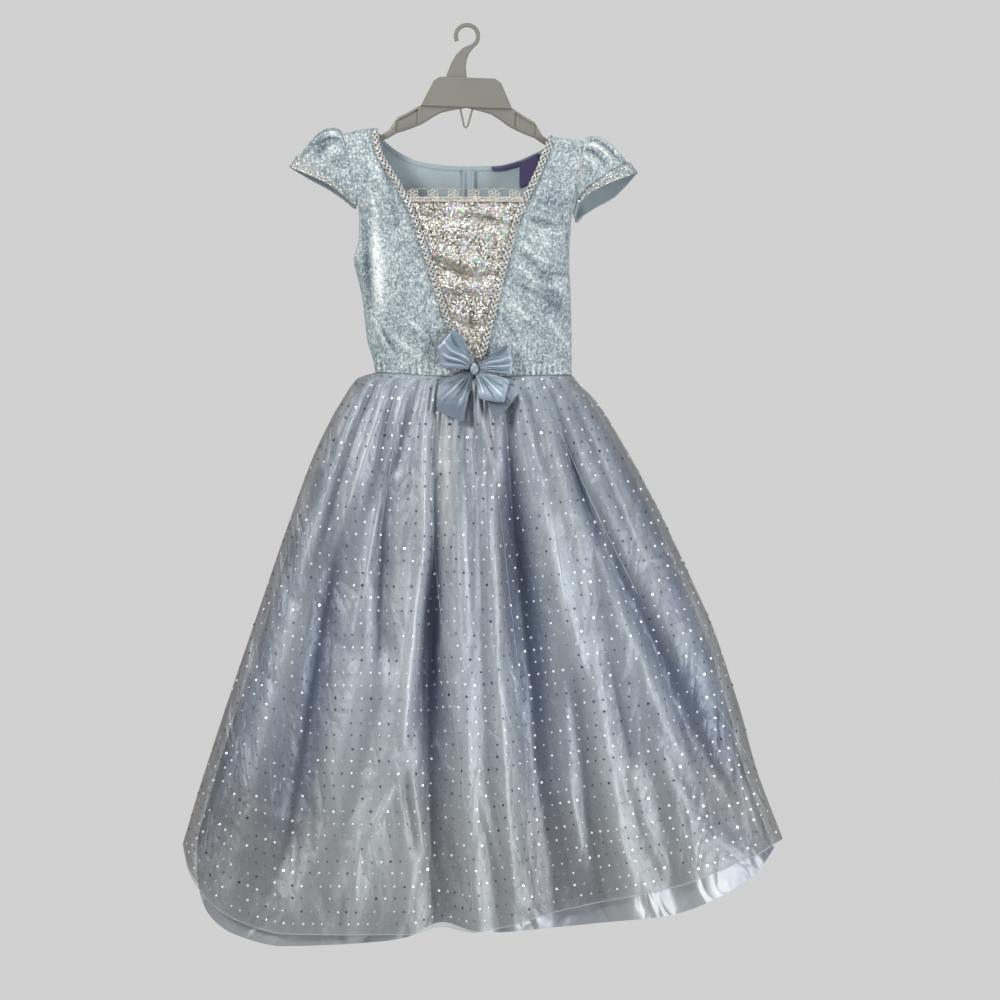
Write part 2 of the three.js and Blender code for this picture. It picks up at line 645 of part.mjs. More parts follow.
const insetSides = (z) => [
  frontEdge.left(z) + EDGE_LAP + INSET_GAP,
  frontEdge.right(z) - EDGE_LAP - INSET_GAP,
];

function inset() {
  const rows = 17;
  const grid = steps(rows, (r) =>
    steps(7, (c) => {
      const middleZ = lerp(INSET_TOP, waistLine(0) + SEAM_GAP / 2, r);
      const [left, right] = insetSides(middleZ);
      const x = lerp(left, right, c);
      const sag = 1 - (2 * c - 1) ** 2;
      const swag = SWAGS.reduce((sum, s) => {
        const away = middleZ - s.z + s.drop * (sag - 1);
        return sum + s.out * Math.exp(-((away / s.half) ** 2)) * lerp(SWAG_SIDE, 1, sag);
      }, 0);
      return surface("front", x, middleZ, swag * ease(r * SWAG_ENDS) * ease((1 - r) * SWAG_ENDS));
    }),
  );
  return wall(grid, SEQUIN_CLOTH, (p, c) => {
    const [left, right] = insetSides(p.z);
    if (c === 0) p.x = left;
    if (c === 1) p.x = right;
  });
}

function braid(side) {
  const name = side < 0 ? "left" : "right";
  const start = shoulderLine(frontEdge[name](BRAID.from)) - VELVET / 2 - BRAID.top;
  const count = 2 * Math.round((start - BRAID.bottom) / BRAID.step);
  const out = (VELVET + TRIM) / 2 + BRAID_GAP;
  const grid = Array.from({ length: count + 1 }, (_, j) => {
    const z = lerp(start, BRAID.bottom, j / count);
    const half = (j % 2 ? BRAID.narrow : BRAID.wide) / 2;
    return [-1, 0, 1].map((c) => surface("front", frontEdge[name](z) + c * half, z, out));
  });
  return wall(grid, TRIM);
}

// A flat outline laid on the front, its thickness standing out.
function laidOn(outline, thickness, out) {
  const geometry = plate(outline, thickness);
  const position = geometry.attributes.position;
  for (let i = 0; i < position.count; i++) {
    const [x, y, z] = [position.getX(i), position.getY(i), position.getZ(i)];
    position.setY(i, surface("front", x, z, out).y + y);
  }
  return solidOf(geometry);
}

function lace() {
  const out = (SEQUIN_CLOTH + LACE.flowerThick) / 2 + LAY_GAP;
  const margin = EDGE_LAP + LACE.side;
  const [left, right] = [frontEdge.left(LACE.sideZ) + margin, frontEdge.right(LACE.sideZ) - margin];
  const band = [LACE.top, LACE.bottom].map((z) =>
    steps(16, (c) => surface("front", lerp(left, right, c), z, out)),
  );
  let body = solidOf(wall(band, LACE.thick));
  const centres = Array.from({ length: FLOWER.count }, (_, i) => FLOWER.first + i * FLOWER.pitch);
  for (const x of centres) {
    const outline = steps(FLOWER.petals * 4, (t) => {
      const angle = t * 2 * Math.PI;
      const r = FLOWER.radius - FLOWER.notch * (0.5 - 0.5 * Math.cos(FLOWER.petals * angle));
      return [x + r * Math.sin(angle), FLOWER.z + r * Math.cos(angle)];
    }).slice(1);
    body = body.add(laidOn(outline, LACE.flowerThick, out));
  }
  for (const x of centres.slice(1)) {
    const thread = steps(4, (t) => ({
      x: x - FLOWER.pitch + t * FLOWER.pitch,
      z: LACE.threadZ + LACE.rise * Math.sin(t * Math.PI),
      half: LACE.thread / 2,
    }));
    body = body.add(laidOn(bandOutline(thread), LACE.threadThick, out));
  }
  return geometryOf(body);
}

// Sleeves

// A place on a sleeve: a runs round from the front underarm over the fold to the back one, s from armhole to hem.
function sleevePoint(name, a, s, out = 0) {
  const sleeve = SLEEVES[name];
  const face = a < 0.5 ? "front" : "back";
  const away = a < 0.5 ? -1 : 1;
  const round = Math.abs(2 * a - 1);
  const t = round ** CAP.spacing;
  const armZ = lerp(sleeve.top, sleeve.end[face], t);
  const armX = bodice[name](armZ) + sleeve.side * SLEEVE_OFF_BODICE;
  const deep = Math.sqrt(1 - (1 - Math.min(1, round / CAP.deepFrom)) ** 2);
  const armhole = new THREE.Vector3(armX, away * bodice.edge(armZ) * deep, armZ);
  const edge = sleeveHem[name][face];
  const endEdge = bodice.edge(sleeve.end[face]);
  const mouth = lerp(endEdge, sleeve.spread, Math.sin(Math.PI * Math.min(1, round) ** CAP.mouth));
  const closing = ease((round - CAP.closeFrom) / (1 - CAP.closeFrom));
  const hemY = away * lerp(mouth * deep, endEdge, closing);
  const hem = new THREE.Vector3(edge.x(t), hemY, edge.z(t));
  const belly = Math.sin(Math.PI * Math.min(1, s) ** CAP.fullest);
  const swell = belly * (1 - t) ** CAP.fade;
  const gatherFade = (1 - s) * (1 - t) * ease(s * CAP.seam);
  const gather = Math.cos(2 * Math.PI * SLEEVE_GATHERS * a) * SLEEVE_GATHER_HEIGHT * gatherFade;
  const fromDent = Math.hypot((s - DENT.s) / DENT.halfS, (a - DENT.a) / DENT.halfA);
  const dent = sleeve.dent * Math.exp(-(fromDent ** 2));
  const p = armhole.lerp(hem, s);
  p.z += sleeve.puff * swell * Math.cos((round * Math.PI) / 2);
  p.y += away * (sleeve.spread * CAP.swell * swell * Math.sin((round * Math.PI) / 2) + gather + out - dent);
  return p;
}

function sleeve(name) {
  return wall(steps(5, (s) => steps(22, (a) => sleevePoint(name, a, s))), VELVET);
}

function sleeveTrim(name) {
  const grid = steps(3, (r) => steps(20, (a) => sleevePoint(name, a, lerp(SLEEVE_TRIM.from, SLEEVE_TRIM.to, r))));
  const facing = -SLEEVES[name].side;
  return wall(movedOut(grid, facing * ((VELVET + TRIM) / 2 + TAPE_GAP)), TRIM);
}

// Skirt

// A place on one layer of the skirt: u from the left side seam to the right, w from the waist to the full length.
function skirtPoint(layer, face, u, down) {
  const w = down * lengths[layer](u);
  const [middle, half] = [(WAIST.left + WAIST.right) / 2, (WAIST.right - WAIST.left) / 2];
  const top = middle + half * lerp(Math.sin((u * Math.PI) / 2), u, ROUND.even);
  const outward = Math.abs(u) ** ROUND.puff;
  const puff = u < 0 ? -spread.left(w) : spread.right(w);
  const inside = layer === "satin" ? 1 : 0;
  const drawnIn = inside * layerGap.side(w) * u * Math.abs(u) ** ROUND.drawIn;
  const x = lerp(top, hem.x(u), w) + puff * outward - drawnIn;
  const z = lerp(waistLine(top) - SEAM_GAP / 2, hem.z(u), w);
  const round = Math.max(0, 1 - Math.abs(u) ** ROUND.square) ** ROUND.full;
  const folds = (face === "front" ? FRONT_FOLDS : BACK_FOLDS).reduce((sum, fold) => {
    const along = (w - fold.w0) / (fold.w1 - fold.w0);
    const from = lerp(fold.u0, fold.u1, along);
    const fade = ease(along * FOLD_FADE.start) * ease((FOLD_FADE.past - along) * FOLD_FADE.end);
    return sum + fold.out * fade * Math.exp(-(((u - from) / fold.half) ** 2));
  }, 0);
  const count = GATHERS[face];
  const gather = gatherHeight(w) * Math.cos(Math.PI * count * u + GATHER_WANDER.turns * Math.sin(GATHER_WANDER.waves * u));
  const depth = spread[face](w) - inside * layerGap.middle(w);
  const y = (face === "front" ? -1 : 1) * round * (depth + folds + gather);
  return new THREE.Vector3(x, y, z);
}

function skirt(layer, face, columns, rows) {
  const thickness = layer === "satin" ? SATIN : ORGANZA;
  const grid = steps(rows, (r) =>
    steps(columns, (c) => skirtPoint(layer, face, 2 * c - 1, r ** ROW_CROWDING)),
  );
  const away = face === "front" ? -1 : 1;
  return wall(grid, thickness, (p, c, r) => {
    if (c === 0 || c === 1) p.y = (away * SEAM_GAP) / 2;
    if (r === 0) p.z = waistLine(p.x) - SEAM_GAP / 2;
  });
}

// Bow

// A fan of ribbon out from the knot. A loop's cloth goes out in front and returns behind.
function ribbon({ from, to, near, middle, far, deep, off, root }) {
  const rim = curve([{ b: 0, r: near }, { b: 0.5, r: middle }, { b: 1, r: far }], "b", "r");
  const isLoop = deep > 0;
  const sunk = Math.sqrt(1 - (Math.max(0, -root - RIBBON_PLEATS.height) / KNOT.halfDepth) ** 2);
  const grid = steps(isLoop ? 10 : 5, (c) =>
    steps(8, (b) => {
      const along = isLoop ? Math.sin(c * Math.PI) ** LOOP_SHAPE.blunt : c;
      const angle = THREE.MathUtils.degToRad(lerp(from, to, b));
      const [cos, sin] = [Math.cos(angle), Math.sin(angle)];
      const start = sunk / Math.hypot(cos / KNOT.halfWidth, sin / KNOT.halfHeight) + KNOT.gap;
      const r = lerp(start, rim(b), along);
      const apart = isLoop ? deep * lerp(LOOP_SHAPE.closed, 1, along) * Math.cos(c * Math.PI) : 0;
      const pleat = RIBBON_PLEATS.height * Math.cos(2 * Math.PI * RIBBON_PLEATS.count * b) * (1 - along);
      const z = KNOT.z + r * sin;
      const y = lerp(KNOT.y - root, bowLie(z) - off - deep / 2, ease(along * LOOP_SHAPE.settle)) - apart / 2 - pleat;
      return new THREE.Vector3(KNOT.x + r * cos, y, z);
    }),
  );
  return wall(grid, RIBBON);
}

function knot() {
  const rings = steps(8, (t) => {
    const angle = lerp(-80, 80, t) * THREE.MathUtils.DEG2RAD;
    const turns = steps(12, (k) => k * 2 * Math.PI).slice(1);
    return turns.map(
      (turn) =>
        new THREE.Vector3(
          KNOT.x + KNOT.halfWidth * Math.cos(angle) * Math.cos(turn),
          KNOT.y + KNOT.halfDepth * Math.cos(angle) * Math.sin(turn),
          KNOT.z + KNOT.halfHeight * Math.sin(angle),
        ),
    );
  });
  return loft(rings);
}

// Inside the back

// A strip on the inside of the back, from one side to the other and between two heights.
function insideBack(left, right, top, bottom, thickness) {
  const out = -(VELVET + thickness) / 2 - LINING_GAP;
  const isLong = top(left) - bottom(left) > LONG_STRIP;
  const grid = steps(isLong ? 14 : 3, (r) =>
    steps(3, (c) => {
      const x = lerp(left, right, c);
      return surface("back", x, lerp(top(x), bottom(x), r), out);
    }),
  );
  return wall(grid, thickness);
}

const VELVET_LOOK = { color: 0xa3b9c6, roughness: 0.62, metalness: 0 };
const SATIN_LOOK = { color: 0xa9b6cf, roughness: 0.38, metalness: 0 };
const ORGANZA_LOOK = { color: 0xa3aec2, roughness: 0.5, metalness: 0.05 };
const SEQUIN_LOOK = { color: 0xc4c0b4, roughness: 0.28, metalness: 0.7 };
const BRAID_LOOK = { color: 0xb4b8bb, roughness: 0.35, metalness: 0.75 };
const LACE_LOOK = { color: 0xcdd0cf, roughness: 0.6, metalness: 0.1 };
const GLITTER_LOOK = { color: 0xb3b0a6, roughness: 0.4, metalness: 0.6 };
const RIBBON_LOOK = { color: 0x8398b3, roughness: 0.36, metalness: 0 };
const LABEL_LOOK = { color: 0x5f4d96, roughness: 0.55, metalness: 0 };
const TAPE_LOOK = { color: 0x93aab8, roughness: 0.7, metalness: 0 };
const PLASTIC_LOOK = { color: 0x96958b, roughness: 0.5, metalness: 0 };

const dress = new THREE.Group();
const add = (name, geometry, look) => {
  const mesh = new THREE.Mesh(geometry, new THREE.MeshStandardMaterial(look));
  mesh.name = name;
  dress.add(mesh);
};

add("hanger", hanger(), PLASTIC_LOOK);
for (const [name, side] of [["left", -1], ["right", 1]]) {
  add(`bodice_front_${name}`, bodicePanel("front", side), VELVET_LOOK);
  add(`bodice_back_${name}`, bodicePanel("back", side), VELVET_LOOK);
  add(`braid_${name}`, braid(side), BRAID_LOOK);
  add(`sleeve_${name}`, sleeve(name), VELVET_LOOK);
  add(`sleeve_trim_${name}`, sleeveTrim(name), GLITTER_LOOK);
}
add("inset", inset(), SEQUIN_LOOK);
add("lace_flowers", lace(), LACE_LOOK);
add("underskirt_front", skirt("satin", "front", 32, 12), SATIN_LOOK);
add("underskirt_back", skirt("satin", "back", 24, 10), SATIN_LOOK);
add("overskirt_front", skirt("organza", "front", 44, 15), ORGANZA_LOOK);
add("overskirt_back", skirt("organza", "back", 32, 13), ORGANZA_LOOK);
for (const piece of BOW) add(piece.name, ribbon(piece), RIBBON_LOOK);
add("bow_knot", knot(), RIBBON_LOOK);
add(
  "placket",
  insideBack(PLACKET.left, PLACKET.right, () => PLACKET.top, () => PLACKET.bottom, TRIM),
  TAPE_LOOK,
);
const belowNeck = (drop) => (x) => backNeck(x) - drop;
add(
  "label_care",
  insideBack(
    CARE_LABEL.left,
    CARE_LABEL.right,
    belowNeck(CARE_LABEL.below),
    belowNeck(CARE_LABEL.below + CARE_LABEL.height),
    LABEL,
  ),
  LABEL_LOOK,
);
add(
  "label_neck",
  insideBack(
    NECK_LABEL.left,
    NECK_LABEL.right,
    belowNeck(NECK_LABEL.below),
    belowNeck(NECK_LABEL.below + NECK_LABEL.height),
    LABEL,
  ),
  LABEL_LOOK,
);

export default dress;
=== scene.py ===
# A child's princess costume dress on a plastic hanger, dressed over its CAD frame: crushed velvet,
# holographic sequins, silver plait and lace, satin under dotted organza, and a satin ribbon bow.
# Sizes are in millimetres, X to the right, Z up and Y away from the viewer, and become metres where
# a mesh is made.
import math

import bpy
import numpy as np
from mathutils.kdtree import KDTree
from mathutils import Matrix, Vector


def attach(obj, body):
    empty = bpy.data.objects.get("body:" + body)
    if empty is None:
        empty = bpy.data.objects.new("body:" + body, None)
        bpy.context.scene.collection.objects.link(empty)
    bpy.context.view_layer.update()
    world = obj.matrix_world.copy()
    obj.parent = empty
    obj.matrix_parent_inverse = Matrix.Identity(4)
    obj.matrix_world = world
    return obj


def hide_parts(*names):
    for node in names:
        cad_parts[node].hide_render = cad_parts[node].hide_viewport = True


MM = 0.001

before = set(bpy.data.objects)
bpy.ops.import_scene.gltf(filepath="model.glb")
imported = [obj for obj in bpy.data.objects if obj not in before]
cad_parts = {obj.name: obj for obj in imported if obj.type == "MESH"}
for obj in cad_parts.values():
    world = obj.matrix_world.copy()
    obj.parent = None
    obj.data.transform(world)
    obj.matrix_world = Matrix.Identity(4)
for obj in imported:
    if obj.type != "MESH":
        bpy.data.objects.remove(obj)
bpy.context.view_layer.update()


def table(names, *rows):
    return dict(zip(names.split(), np.array(rows, float).T))


def rows_of(rows, names):
    return zip(*(rows[name] for name in names.split()))


# The cut, as the frame has it

VELVET = 1.4
SATIN = 0.7
SEQUIN_CLOTH = 1.2
RIBBON = 0.7
TAPE = 0.9
SEAM_GAP = 0.3
SHOULDER_RADIUS = 9
SHOULDER_FALL = 0.9
CORNER = 0.8
EDGE_LAP = 3.5
FRAME_VELVET = 1.8
INSET_GAP = 0.7
INSET_TOP = -209
NECK = {"left": -108, "right": 102}
WAIST = {"left": -109, "right": 126}
CENTRE_BACK = {"top": 2, "bottom": 6, "from": -175, "drop": 245}

SHOULDER_LINE = table("x z", (-152, -128), (-108, -121), (102, -131.5), (142, -137))
WAIST_LINE = table("x z", (-109, -414), (0, -420), (126, -417))
BODICE = table(
    "z left right edge front back",
    (-118, -150, 143, 9, 9, 9),
    (-130, -148, 142, 9.5, 10, 10),
    (-150, -143, 137, 12, 13.5, 12.5),
    (-175, -137, 133, 14, 18, 15),
    (-205, -132, 131, 11, 22, 17),
    (-222, -129, 127, 5, 24, 18),
    (-232, -128.5, 125, 0, 25, 19),
    (-256, -129.5, 123, 0, 27, 20),
    (-280, -135, 122, 0, 28, 21),
    (-303, -130, 123, 0, 28, 21),
    (-326, -125, 124, 0, 28, 21),
    (-376, -119, 125, 0, 26, 20),
    (-400, -112, 125, 0, 25, 20),
    (-425, -107, 126, 0, 25, 20),
)
FRONT_EDGE = table(
    "z left right",
    (-118, -110, 105),
    (-135, -109, 100),
    (-152, -105, 94),
    (-173, -93, 86),
    (-196, -79, 75),
    (-222, -66, 63),
    (-260, -53, 52),
    (-290, -43, 44),
    (-322, -33, 36),
    (-346, -25, 30),
    (-380, -12, 22),
    (-425, 1, 12),
)
BACK_NECK = table(
    "x z",
    (-108, -124),
    (-96, -139),
    (-80, -151),
    (-59, -160),
    (-26, -165.5),
    (0, -166.5),
    (37, -165.5),
    (56, -161.5),
    (77, -153),
    (94, -144),
    (102, -128),
)
# The velvet's long creases, as the frame has them, and the short ones that the stretch cloth adds
CREASES = table(
    "x0 z0 x1 z1 half out",
    (-112, -235, -104, -340, 7, 4),
    (-121, -240, -116, -330, 5, -4),
    (-122, -150, -92, -205, 5, 2),
    (88, -300, 114, -345, 7, -2.5),
    (70, -250, 105, -262, 7, 2),
)
SHORT_CREASES = table(
    "x0 z0 x1 z1 half out",
    (62, -268, 92, -296, 2.6, -3.1),
    (66, -262, 98, -284, 3.0, 2.7),
    (92, -296, 118, -298, 2.8, -2.7),
    (60, -286, 84, -308, 2.8, 3.0),
    (84, -308, 116, -316, 3.0, 2.7),
    (66, -312, 108, -336, 2.4, -2.4),
    (76, -232, 112, -240, 3.0, -2.4),
    (74, -240, 116, -252, 2.6, 2.2),
    (84, -210, 118, -214, 3.0, -2.2),
    (52, -330, 78, -356, 2.6, 2.4),
    (42, -346, 62, -378, 2.6, -2.4),
    (98, -352, 120, -380, 3.2, 2.7),
    (-88, -372, -60, -396, 3.0, 2.4),
    (-104, -362, -84, -392, 2.6, -3.0),
    (-112, -350, -98, -382, 2.8, 3.0),
    (-48, -366, -34, -392, 2.6, -2.2),
    (-70, -352, -48, -372, 3.0, 1.9),
    (-96, -180, -84, -240, 4.0, -1.9),
    (-116, -196, -106, -236, 3.0, 2.2),
)
AWAY = {"front": -1, "back": 1}
WAIST_PUCKERS = {"count": 34, "height": 1.5, "reach": 34}
SWAGS = table(
    "z drop half out",
    (-232, 5, 7, -3),
    (-250, 6, 12, 2.5),
    (-297, 14, 9, -4),
    (-322, 10, 12, 2.5),
    (-358, 5, 8, -2.5),
)
INSET_CREASES = table(
    "x0 z0 x1 z1 half out",
    (8, -229, 56, -241, 3.2, -3.0),
    (4, -222, 52, -232, 5, 2.2),
    (-42, -280, -8, -295, 3.6, -4),
    (-8, -295, 8, -302, 3.8, -4.2),
    (8, -302, 38, -298, 3.6, -3.6),
    (-40, -270, 0, -288, 7, 3.2),
    (0, -288, 36, -288, 7, 2.6),
    (-26, -322, 30, -326, 6, -2),
    (-28, -312, 30, -314, 6, 2),
    (-4, -358, 20, -362, 3.5, -3),
    (-8, -350, 22, -352, 5, 2),
    (-62, -224, -30, -232, 3.5, -1.8),
)
SLEEVES = {
    "left": {
        "side": -1,
        "top": -127,
        "end": {"front": -208, "back": -212},
        "front": table(
            "t x z",
            (0, -210, -169),
            (0.3, -188, -178),
            (0.6, -163, -190),
            (0.85, -144, -204),
            (1, -134, -212),
        ),
        "back": table(
            "t x z",
            (0, -210, -169),
            (0.3, -188, -182),
            (0.6, -164, -195),
            (0.85, -144, -209),
            (1, -134, -217),
        ),
        "puff": 19,
        "spread": 15,
        "dent": 6,
    },
    "right": {
        "side": 1,
        "top": -135,
        "end": {"front": -204, "back": -224},
        "front": table(
            "t x z",
            (0, 202, -176),
            (0.3, 172, -187),
            (0.6, 150, -197),
            (0.85, 138, -205),
            (1, 134, -209),
        ),
        "back": table(
            "t x z",
            (0, 202, -176),
            (0.3, 176, -203),
            (0.6, 152, -217),
            (0.85, 137, -227),
            (1, 131, -234),
        ),
        "puff": 15,
        "spread": 19,
        "dent": 0,
    },
}
# Pleats and dents of each sleeve: place round it, where each starts and ends from armhole to hem,
# width and height
SLEEVE_CREASES = {
    "left": table(
        "a0 s0 a1 s1 half out",
        (0.40, 0.02, 0.43, 0.60, 0.016, 2.9),
        (0.34, 0.02, 0.37, 0.55, 0.014, -2.9),
        (0.30, 0.05, 0.28, 0.62, 0.016, 2.4),
        (0.46, 0.03, 0.47, 0.50, 0.014, -2.2),
        (0.24, 0.10, 0.20, 0.60, 0.018, -1.8),
        (0.60, 0.02, 0.58, 0.60, 0.016, 2.6),
        (0.68, 0.04, 0.66, 0.55, 0.016, -2.4),
    ),
    "right": table(
        "a0 s0 a1 s1 half out",
        (0.44, 0.02, 0.46, 0.72, 0.014, 3.5),
        (0.395, 0.02, 0.41, 0.78, 0.013, -3.5),
        (0.35, 0.02, 0.36, 0.74, 0.014, 3.4),
        (0.30, 0.02, 0.30, 0.66, 0.013, -3.2),
        (0.25, 0.04, 0.24, 0.62, 0.014, 2.6),
        (0.56, 0.02, 0.55, 0.62, 0.015, 2.9),
        (0.64, 0.02, 0.62, 0.60, 0.016, -2.7),
        (0.72, 0.05, 0.70, 0.55, 0.016, 2.2),
    ),
}
SLEEVE_GATHERS = 8
SLEEVE_GATHER_HEIGHT = 2
SLEEVE_TRIM_FROM = 0.84
SLEEVE_OFF_BODICE = 1.4
SLEEVE_TRIM_OUT = 2.5
SLEEVE_TRIM_TO = 1.02
SLEEVE_FINE = {"count": 27, "height": 0.5}
DENT = {"down": 0.55, "tall": 0.16, "round": 0.36, "wide": 0.09}
FLECKS = {"count": 1100, "out": 0.25, "rows": 14, "columns": 240, "left": 5, "right": 6}
# Crease heights in millimetres that span the painted light and shade of the sleeves and the bodice
SLEEVE_PAINTED_SHADE_SPAN = 8
BODICE_PAINTED_SHADE_SPAN = 9

HEM = table(
    "u x z",
    (-1, -341, -980),
    (-0.94, -334, -1024),
    (-0.86, -315, -1062),
    (-0.75, -279, -1086),
    (-0.6, -220, -1099),
    (-0.42, -144, -1096),
    (-0.22, -70, -1089),
    (-0.11, -30, -1075),
    (0, 12, -1083),
    (0.22, 90, -1078),
    (0.45, 172, -1070),
    (0.65, 246, -1062),
    (0.8, 306, -1041),
    (0.91, 350, -1014),
    (1, 379, -974),
)
SPREAD = table(
    "w left right front back",
    (0, 0, 0, 25, 20),
    (0.015, 20, 3, 33, 25),
    (0.05, 26, 13, 43, 30),
    (0.1, 31, 20, 50, 34),
    (0.18, 34, 26, 56, 38),
    (0.31, 31, 31, 62, 42),
    (0.5, 24, 32, 69, 47),
    (0.7, 16, 21, 76, 52),
    (0.87, 8, 5, 82, 56),
    (1, 0, 0, 86, 60),
)
LENGTHS = table(
    "u organza satin",
    (-1, 1, 0.99),
    (-0.86, 0.972, 1),
    (-0.6, 0.978, 1),
    (-0.3, 0.988, 1),
    (-0.1, 1, 0.993),
    (0.1, 0.99, 1),
    (0.25, 0.974, 1),
    (0.45, 0.961, 1),
    (0.7, 0.951, 1),
    (0.86, 0.956, 1),
    (0.94, 0.975, 1.01),
    (1, 1, 1.02),
)
LAYER_GAP = table(
    "w middle side",
    (0, 1.8, 2.4),
    (0.03, 4, 5.5),
    (0.1, 6.5, 8),
    (0.4, 8, 12),
    (1, 8.5, 16),
)
FOLDS = {
    "front": table(
        "u0 u1 w0 w1 half out",
        (0.2, 0.28, 0.03, 1, 0.085, -15),
        (0.58, 0.92, 0.05, 0.9, 0.05, -13),
        (-0.55, -0.42, 0.04, 0.5, 0.05, -9),
        (-0.25, -0.12, 0.2, 1, 0.06, -13),
        (-0.7, -0.62, 0.2, 0.85, 0.06, -11),
        (-0.22, -0.44, 0.15, 1, 0.06, 10),
        (0.06, 0.13, 0.02, 0.9, 0.04, 8),
        (-0.13, 0, 0.05, 1, 0.045, 9),
        (0.36, 0.56, 0.08, 1, 0.06, 11),
        (0.7, 0.76, 0.1, 1, 0.06, 9),
        (-0.84, -0.8, 0.1, 1, 0.06, 9),
        (-0.4, -0.6, 0.3, 1, 0.07, 8),
        (0.45, 0.4, 0.45, 1, 0.06, -9),
    ),
    "back": table(
        "u0 u1 w0 w1 half out",
        (-0.75, -0.78, 0.06, 1, 0.06, 8),
        (-0.58, -0.62, 0.08, 1, 0.06, -9),
        (-0.38, -0.44, 0.05, 1, 0.07, 9),
        (-0.2, -0.22, 0.1, 1, 0.06, -9),
        (-0.02, 0.02, 0.04, 1, 0.07, 8),
        (0.18, 0.24, 0.06, 1, 0.06, -10),
        (0.4, 0.46, 0.05, 1, 0.07, 9),
        (0.6, 0.66, 0.1, 1, 0.06, -8),
        (0.78, 0.82, 0.06, 1, 0.06, 8),
    ),
}
# The valleys of the hanging cloth sink deeper than in the frame
VALLEY_DEPTH = 1.6
# Fold heights in millimetres that span the skirt's painted light and shade, and the painted shade
# towards its sides
SKIRT_PAINTED_SHADE_SPAN = 36
SIDE_PAINTED_SHADE = 18
GATHERS = {"front": 12, "back": 9}
GATHER_HEIGHT = table("w out", (0, 0), (0.02, 2.6), (0.1, 3.2), (0.3, 1.6), (0.55, 0.5), (1, 0))
GATHER_WANDER = 0.5

# Narrow creases of the skirt, placed one by one: a line on the front or the back, its half width
# and height
SKIRT_CREASES = {
    "front": table(
        "x0 z0 x1 z1 half out",
        (-138, -445, -179, -532, 5, 4.5),
        (-98, -442, -164, -640, 4, 3.8),
        (-78, -436, -138, -736, 5, 4.5),
        (-50, -470, -52, -640, 5, 6.8),
        (-52, -640, -74, -856, 6, 6.0),
        (14, -448, 31, -532, 3.5, 5.2),
        (31, -532, 40, -736, 4, 4.5),
        (61, -430, 89, -544, 3.5, 5.2),
        (89, -544, 119, -718, 5, 5.2),
        (96, -436, 175, -640, 4, 4.5),
        (130, -442, 214, -640, 4, 3.8),
        (-6, -532, 1, -736, 4, 3.0),
        (-71, -448, -83, -532, 6, -6.0),
        (46, -484, 52, -748, 14, -4.5),
        (102, -436, 156, -616, 6, -6.0),
        (-36, -544, -37, -736, 6, -7.5),
        (-146, -532, -200, -688, 8, -4.5),
        (4, -442, 13, -532, 4, -4.5),
        (-89, -912, -114, -964, 4, 4.8),
        (-128, -967, -134, -1039, 4, 4.5),
        (-65, -895, -50, -991, 5, 4.8),
        (-74, -905, -62, -985, 4, -4.2),
        (-180, -1039, -168, -1092, 4, 4.5),
        (-144, -1036, -152, -1087, 4, -4.5),
        (-192, -960, -204, -1072, 6, 3.6),
        (-40, -1000, -30, -1060, 5, 3.9),
        (-22, -960, -6, -1030, 5, -4.2),
        (-250, -935, -200, -955, 5, 3.0),
        (-310, -940, -262, -975, 4, -2.7),
        (20, -930, 44, -1020, 5, 3.9),
        (70, -960, 86, -1050, 5, -3.6),
        (120, -900, 150, -1040, 7, 3.9),
        (190, -880, 236, -1010, 8, 4.2),
        (220, -820, 290, -960, 8, -4.5),
        (250, -790, 330, -930, 8, 4.5),
        (166, -760, 196, -880, 8, -4.2),
    ),
    "back": table(
        "x0 z0 x1 z1 half out",
        (-92, -440, -140, -640, 5, 4.5),
        (-60, -440, -84, -690, 5, -4.5),
        (-30, -440, -40, -620, 4, 4.5),
        (10, -440, 14, -700, 5, 3.9),
        (42, -440, 66, -640, 5, -4.5),
        (76, -440, 120, -660, 5, 4.5),
        (104, -440, 170, -640, 5, 3.9),
        (-120, -900, -150, -1050, 6, 3.9),
        (-40, -880, -30, -1040, 6, -3.9),
        (60, -880, 84, -1040, 6, 4.2),
        (180, -860, 230, -1000, 7, -3.9),
        (-230, -860, -270, -1000, 7, 3.9),
    ),
}
# Broad painted shade and painted light on the lower skirt: middle, half width, half height, and how
# much darker it paints, lighter where negative
BROAD_PAINTED_SHADE_AND_LIGHT = table(
    "x z wide tall fall",
    (-255, -950, 70, 110, 13),
    (310, -930, 70, 80, 16),
    (372, -975, 26, 40, 26),
    (-95, -1000, 70, 60, -13),
    (110, -880, 60, 90, -6),
)
# The organza gathered along its side seams, greyer and denser there, which is partly painted shade
SEAM_BUNCH_AND_SHADE = {"half": 15, "out": 0.62}
# Where the organza is bunched into a greyer, denser streak, partly painted warm sheen, and at the
# lower
# right corner painted shade: a line, its half width and how much it hides
BUNCH_SHEEN_AND_SHADE_STREAKS = {
    "front": table(
        "x0 z0 x1 z1 half out",
        (-34, -440, -26, -600, 9, 0.4),
        (-14, -470, -30, -660, 7, 0.3),
        (24, -450, 40, -560, 6, 0.35),
        (-70, -520, -96, -760, 10, 0.22),
        (40, -560, 40, -760, 9, 0.25),
        (92, -470, 150, -700, 9, 0.22),
        (-130, -480, -210, -760, 12, 0.2),
        (150, -470, 260, -760, 14, 0.18),
        (-60, -880, -60, -1060, 20, 0.25),
        (-300, -900, -180, -1070, 30, 0.22),
        (60, -900, 110, -1050, 24, 0.2),
        (260, -880, 370, -960, 34, 0.4),
    ),
    "back": table(
        "x0 z0 x1 z1 half out",
        (-80, -450, -120, -720, 10, 0.3),
        (20, -450, 20, -700, 9, 0.3),
        (110, -460, 180, -740, 12, 0.25),
        (-200, -820, -260, -1040, 26, 0.22),
        (40, -860, 70, -1050, 22, 0.22),
    ),
}
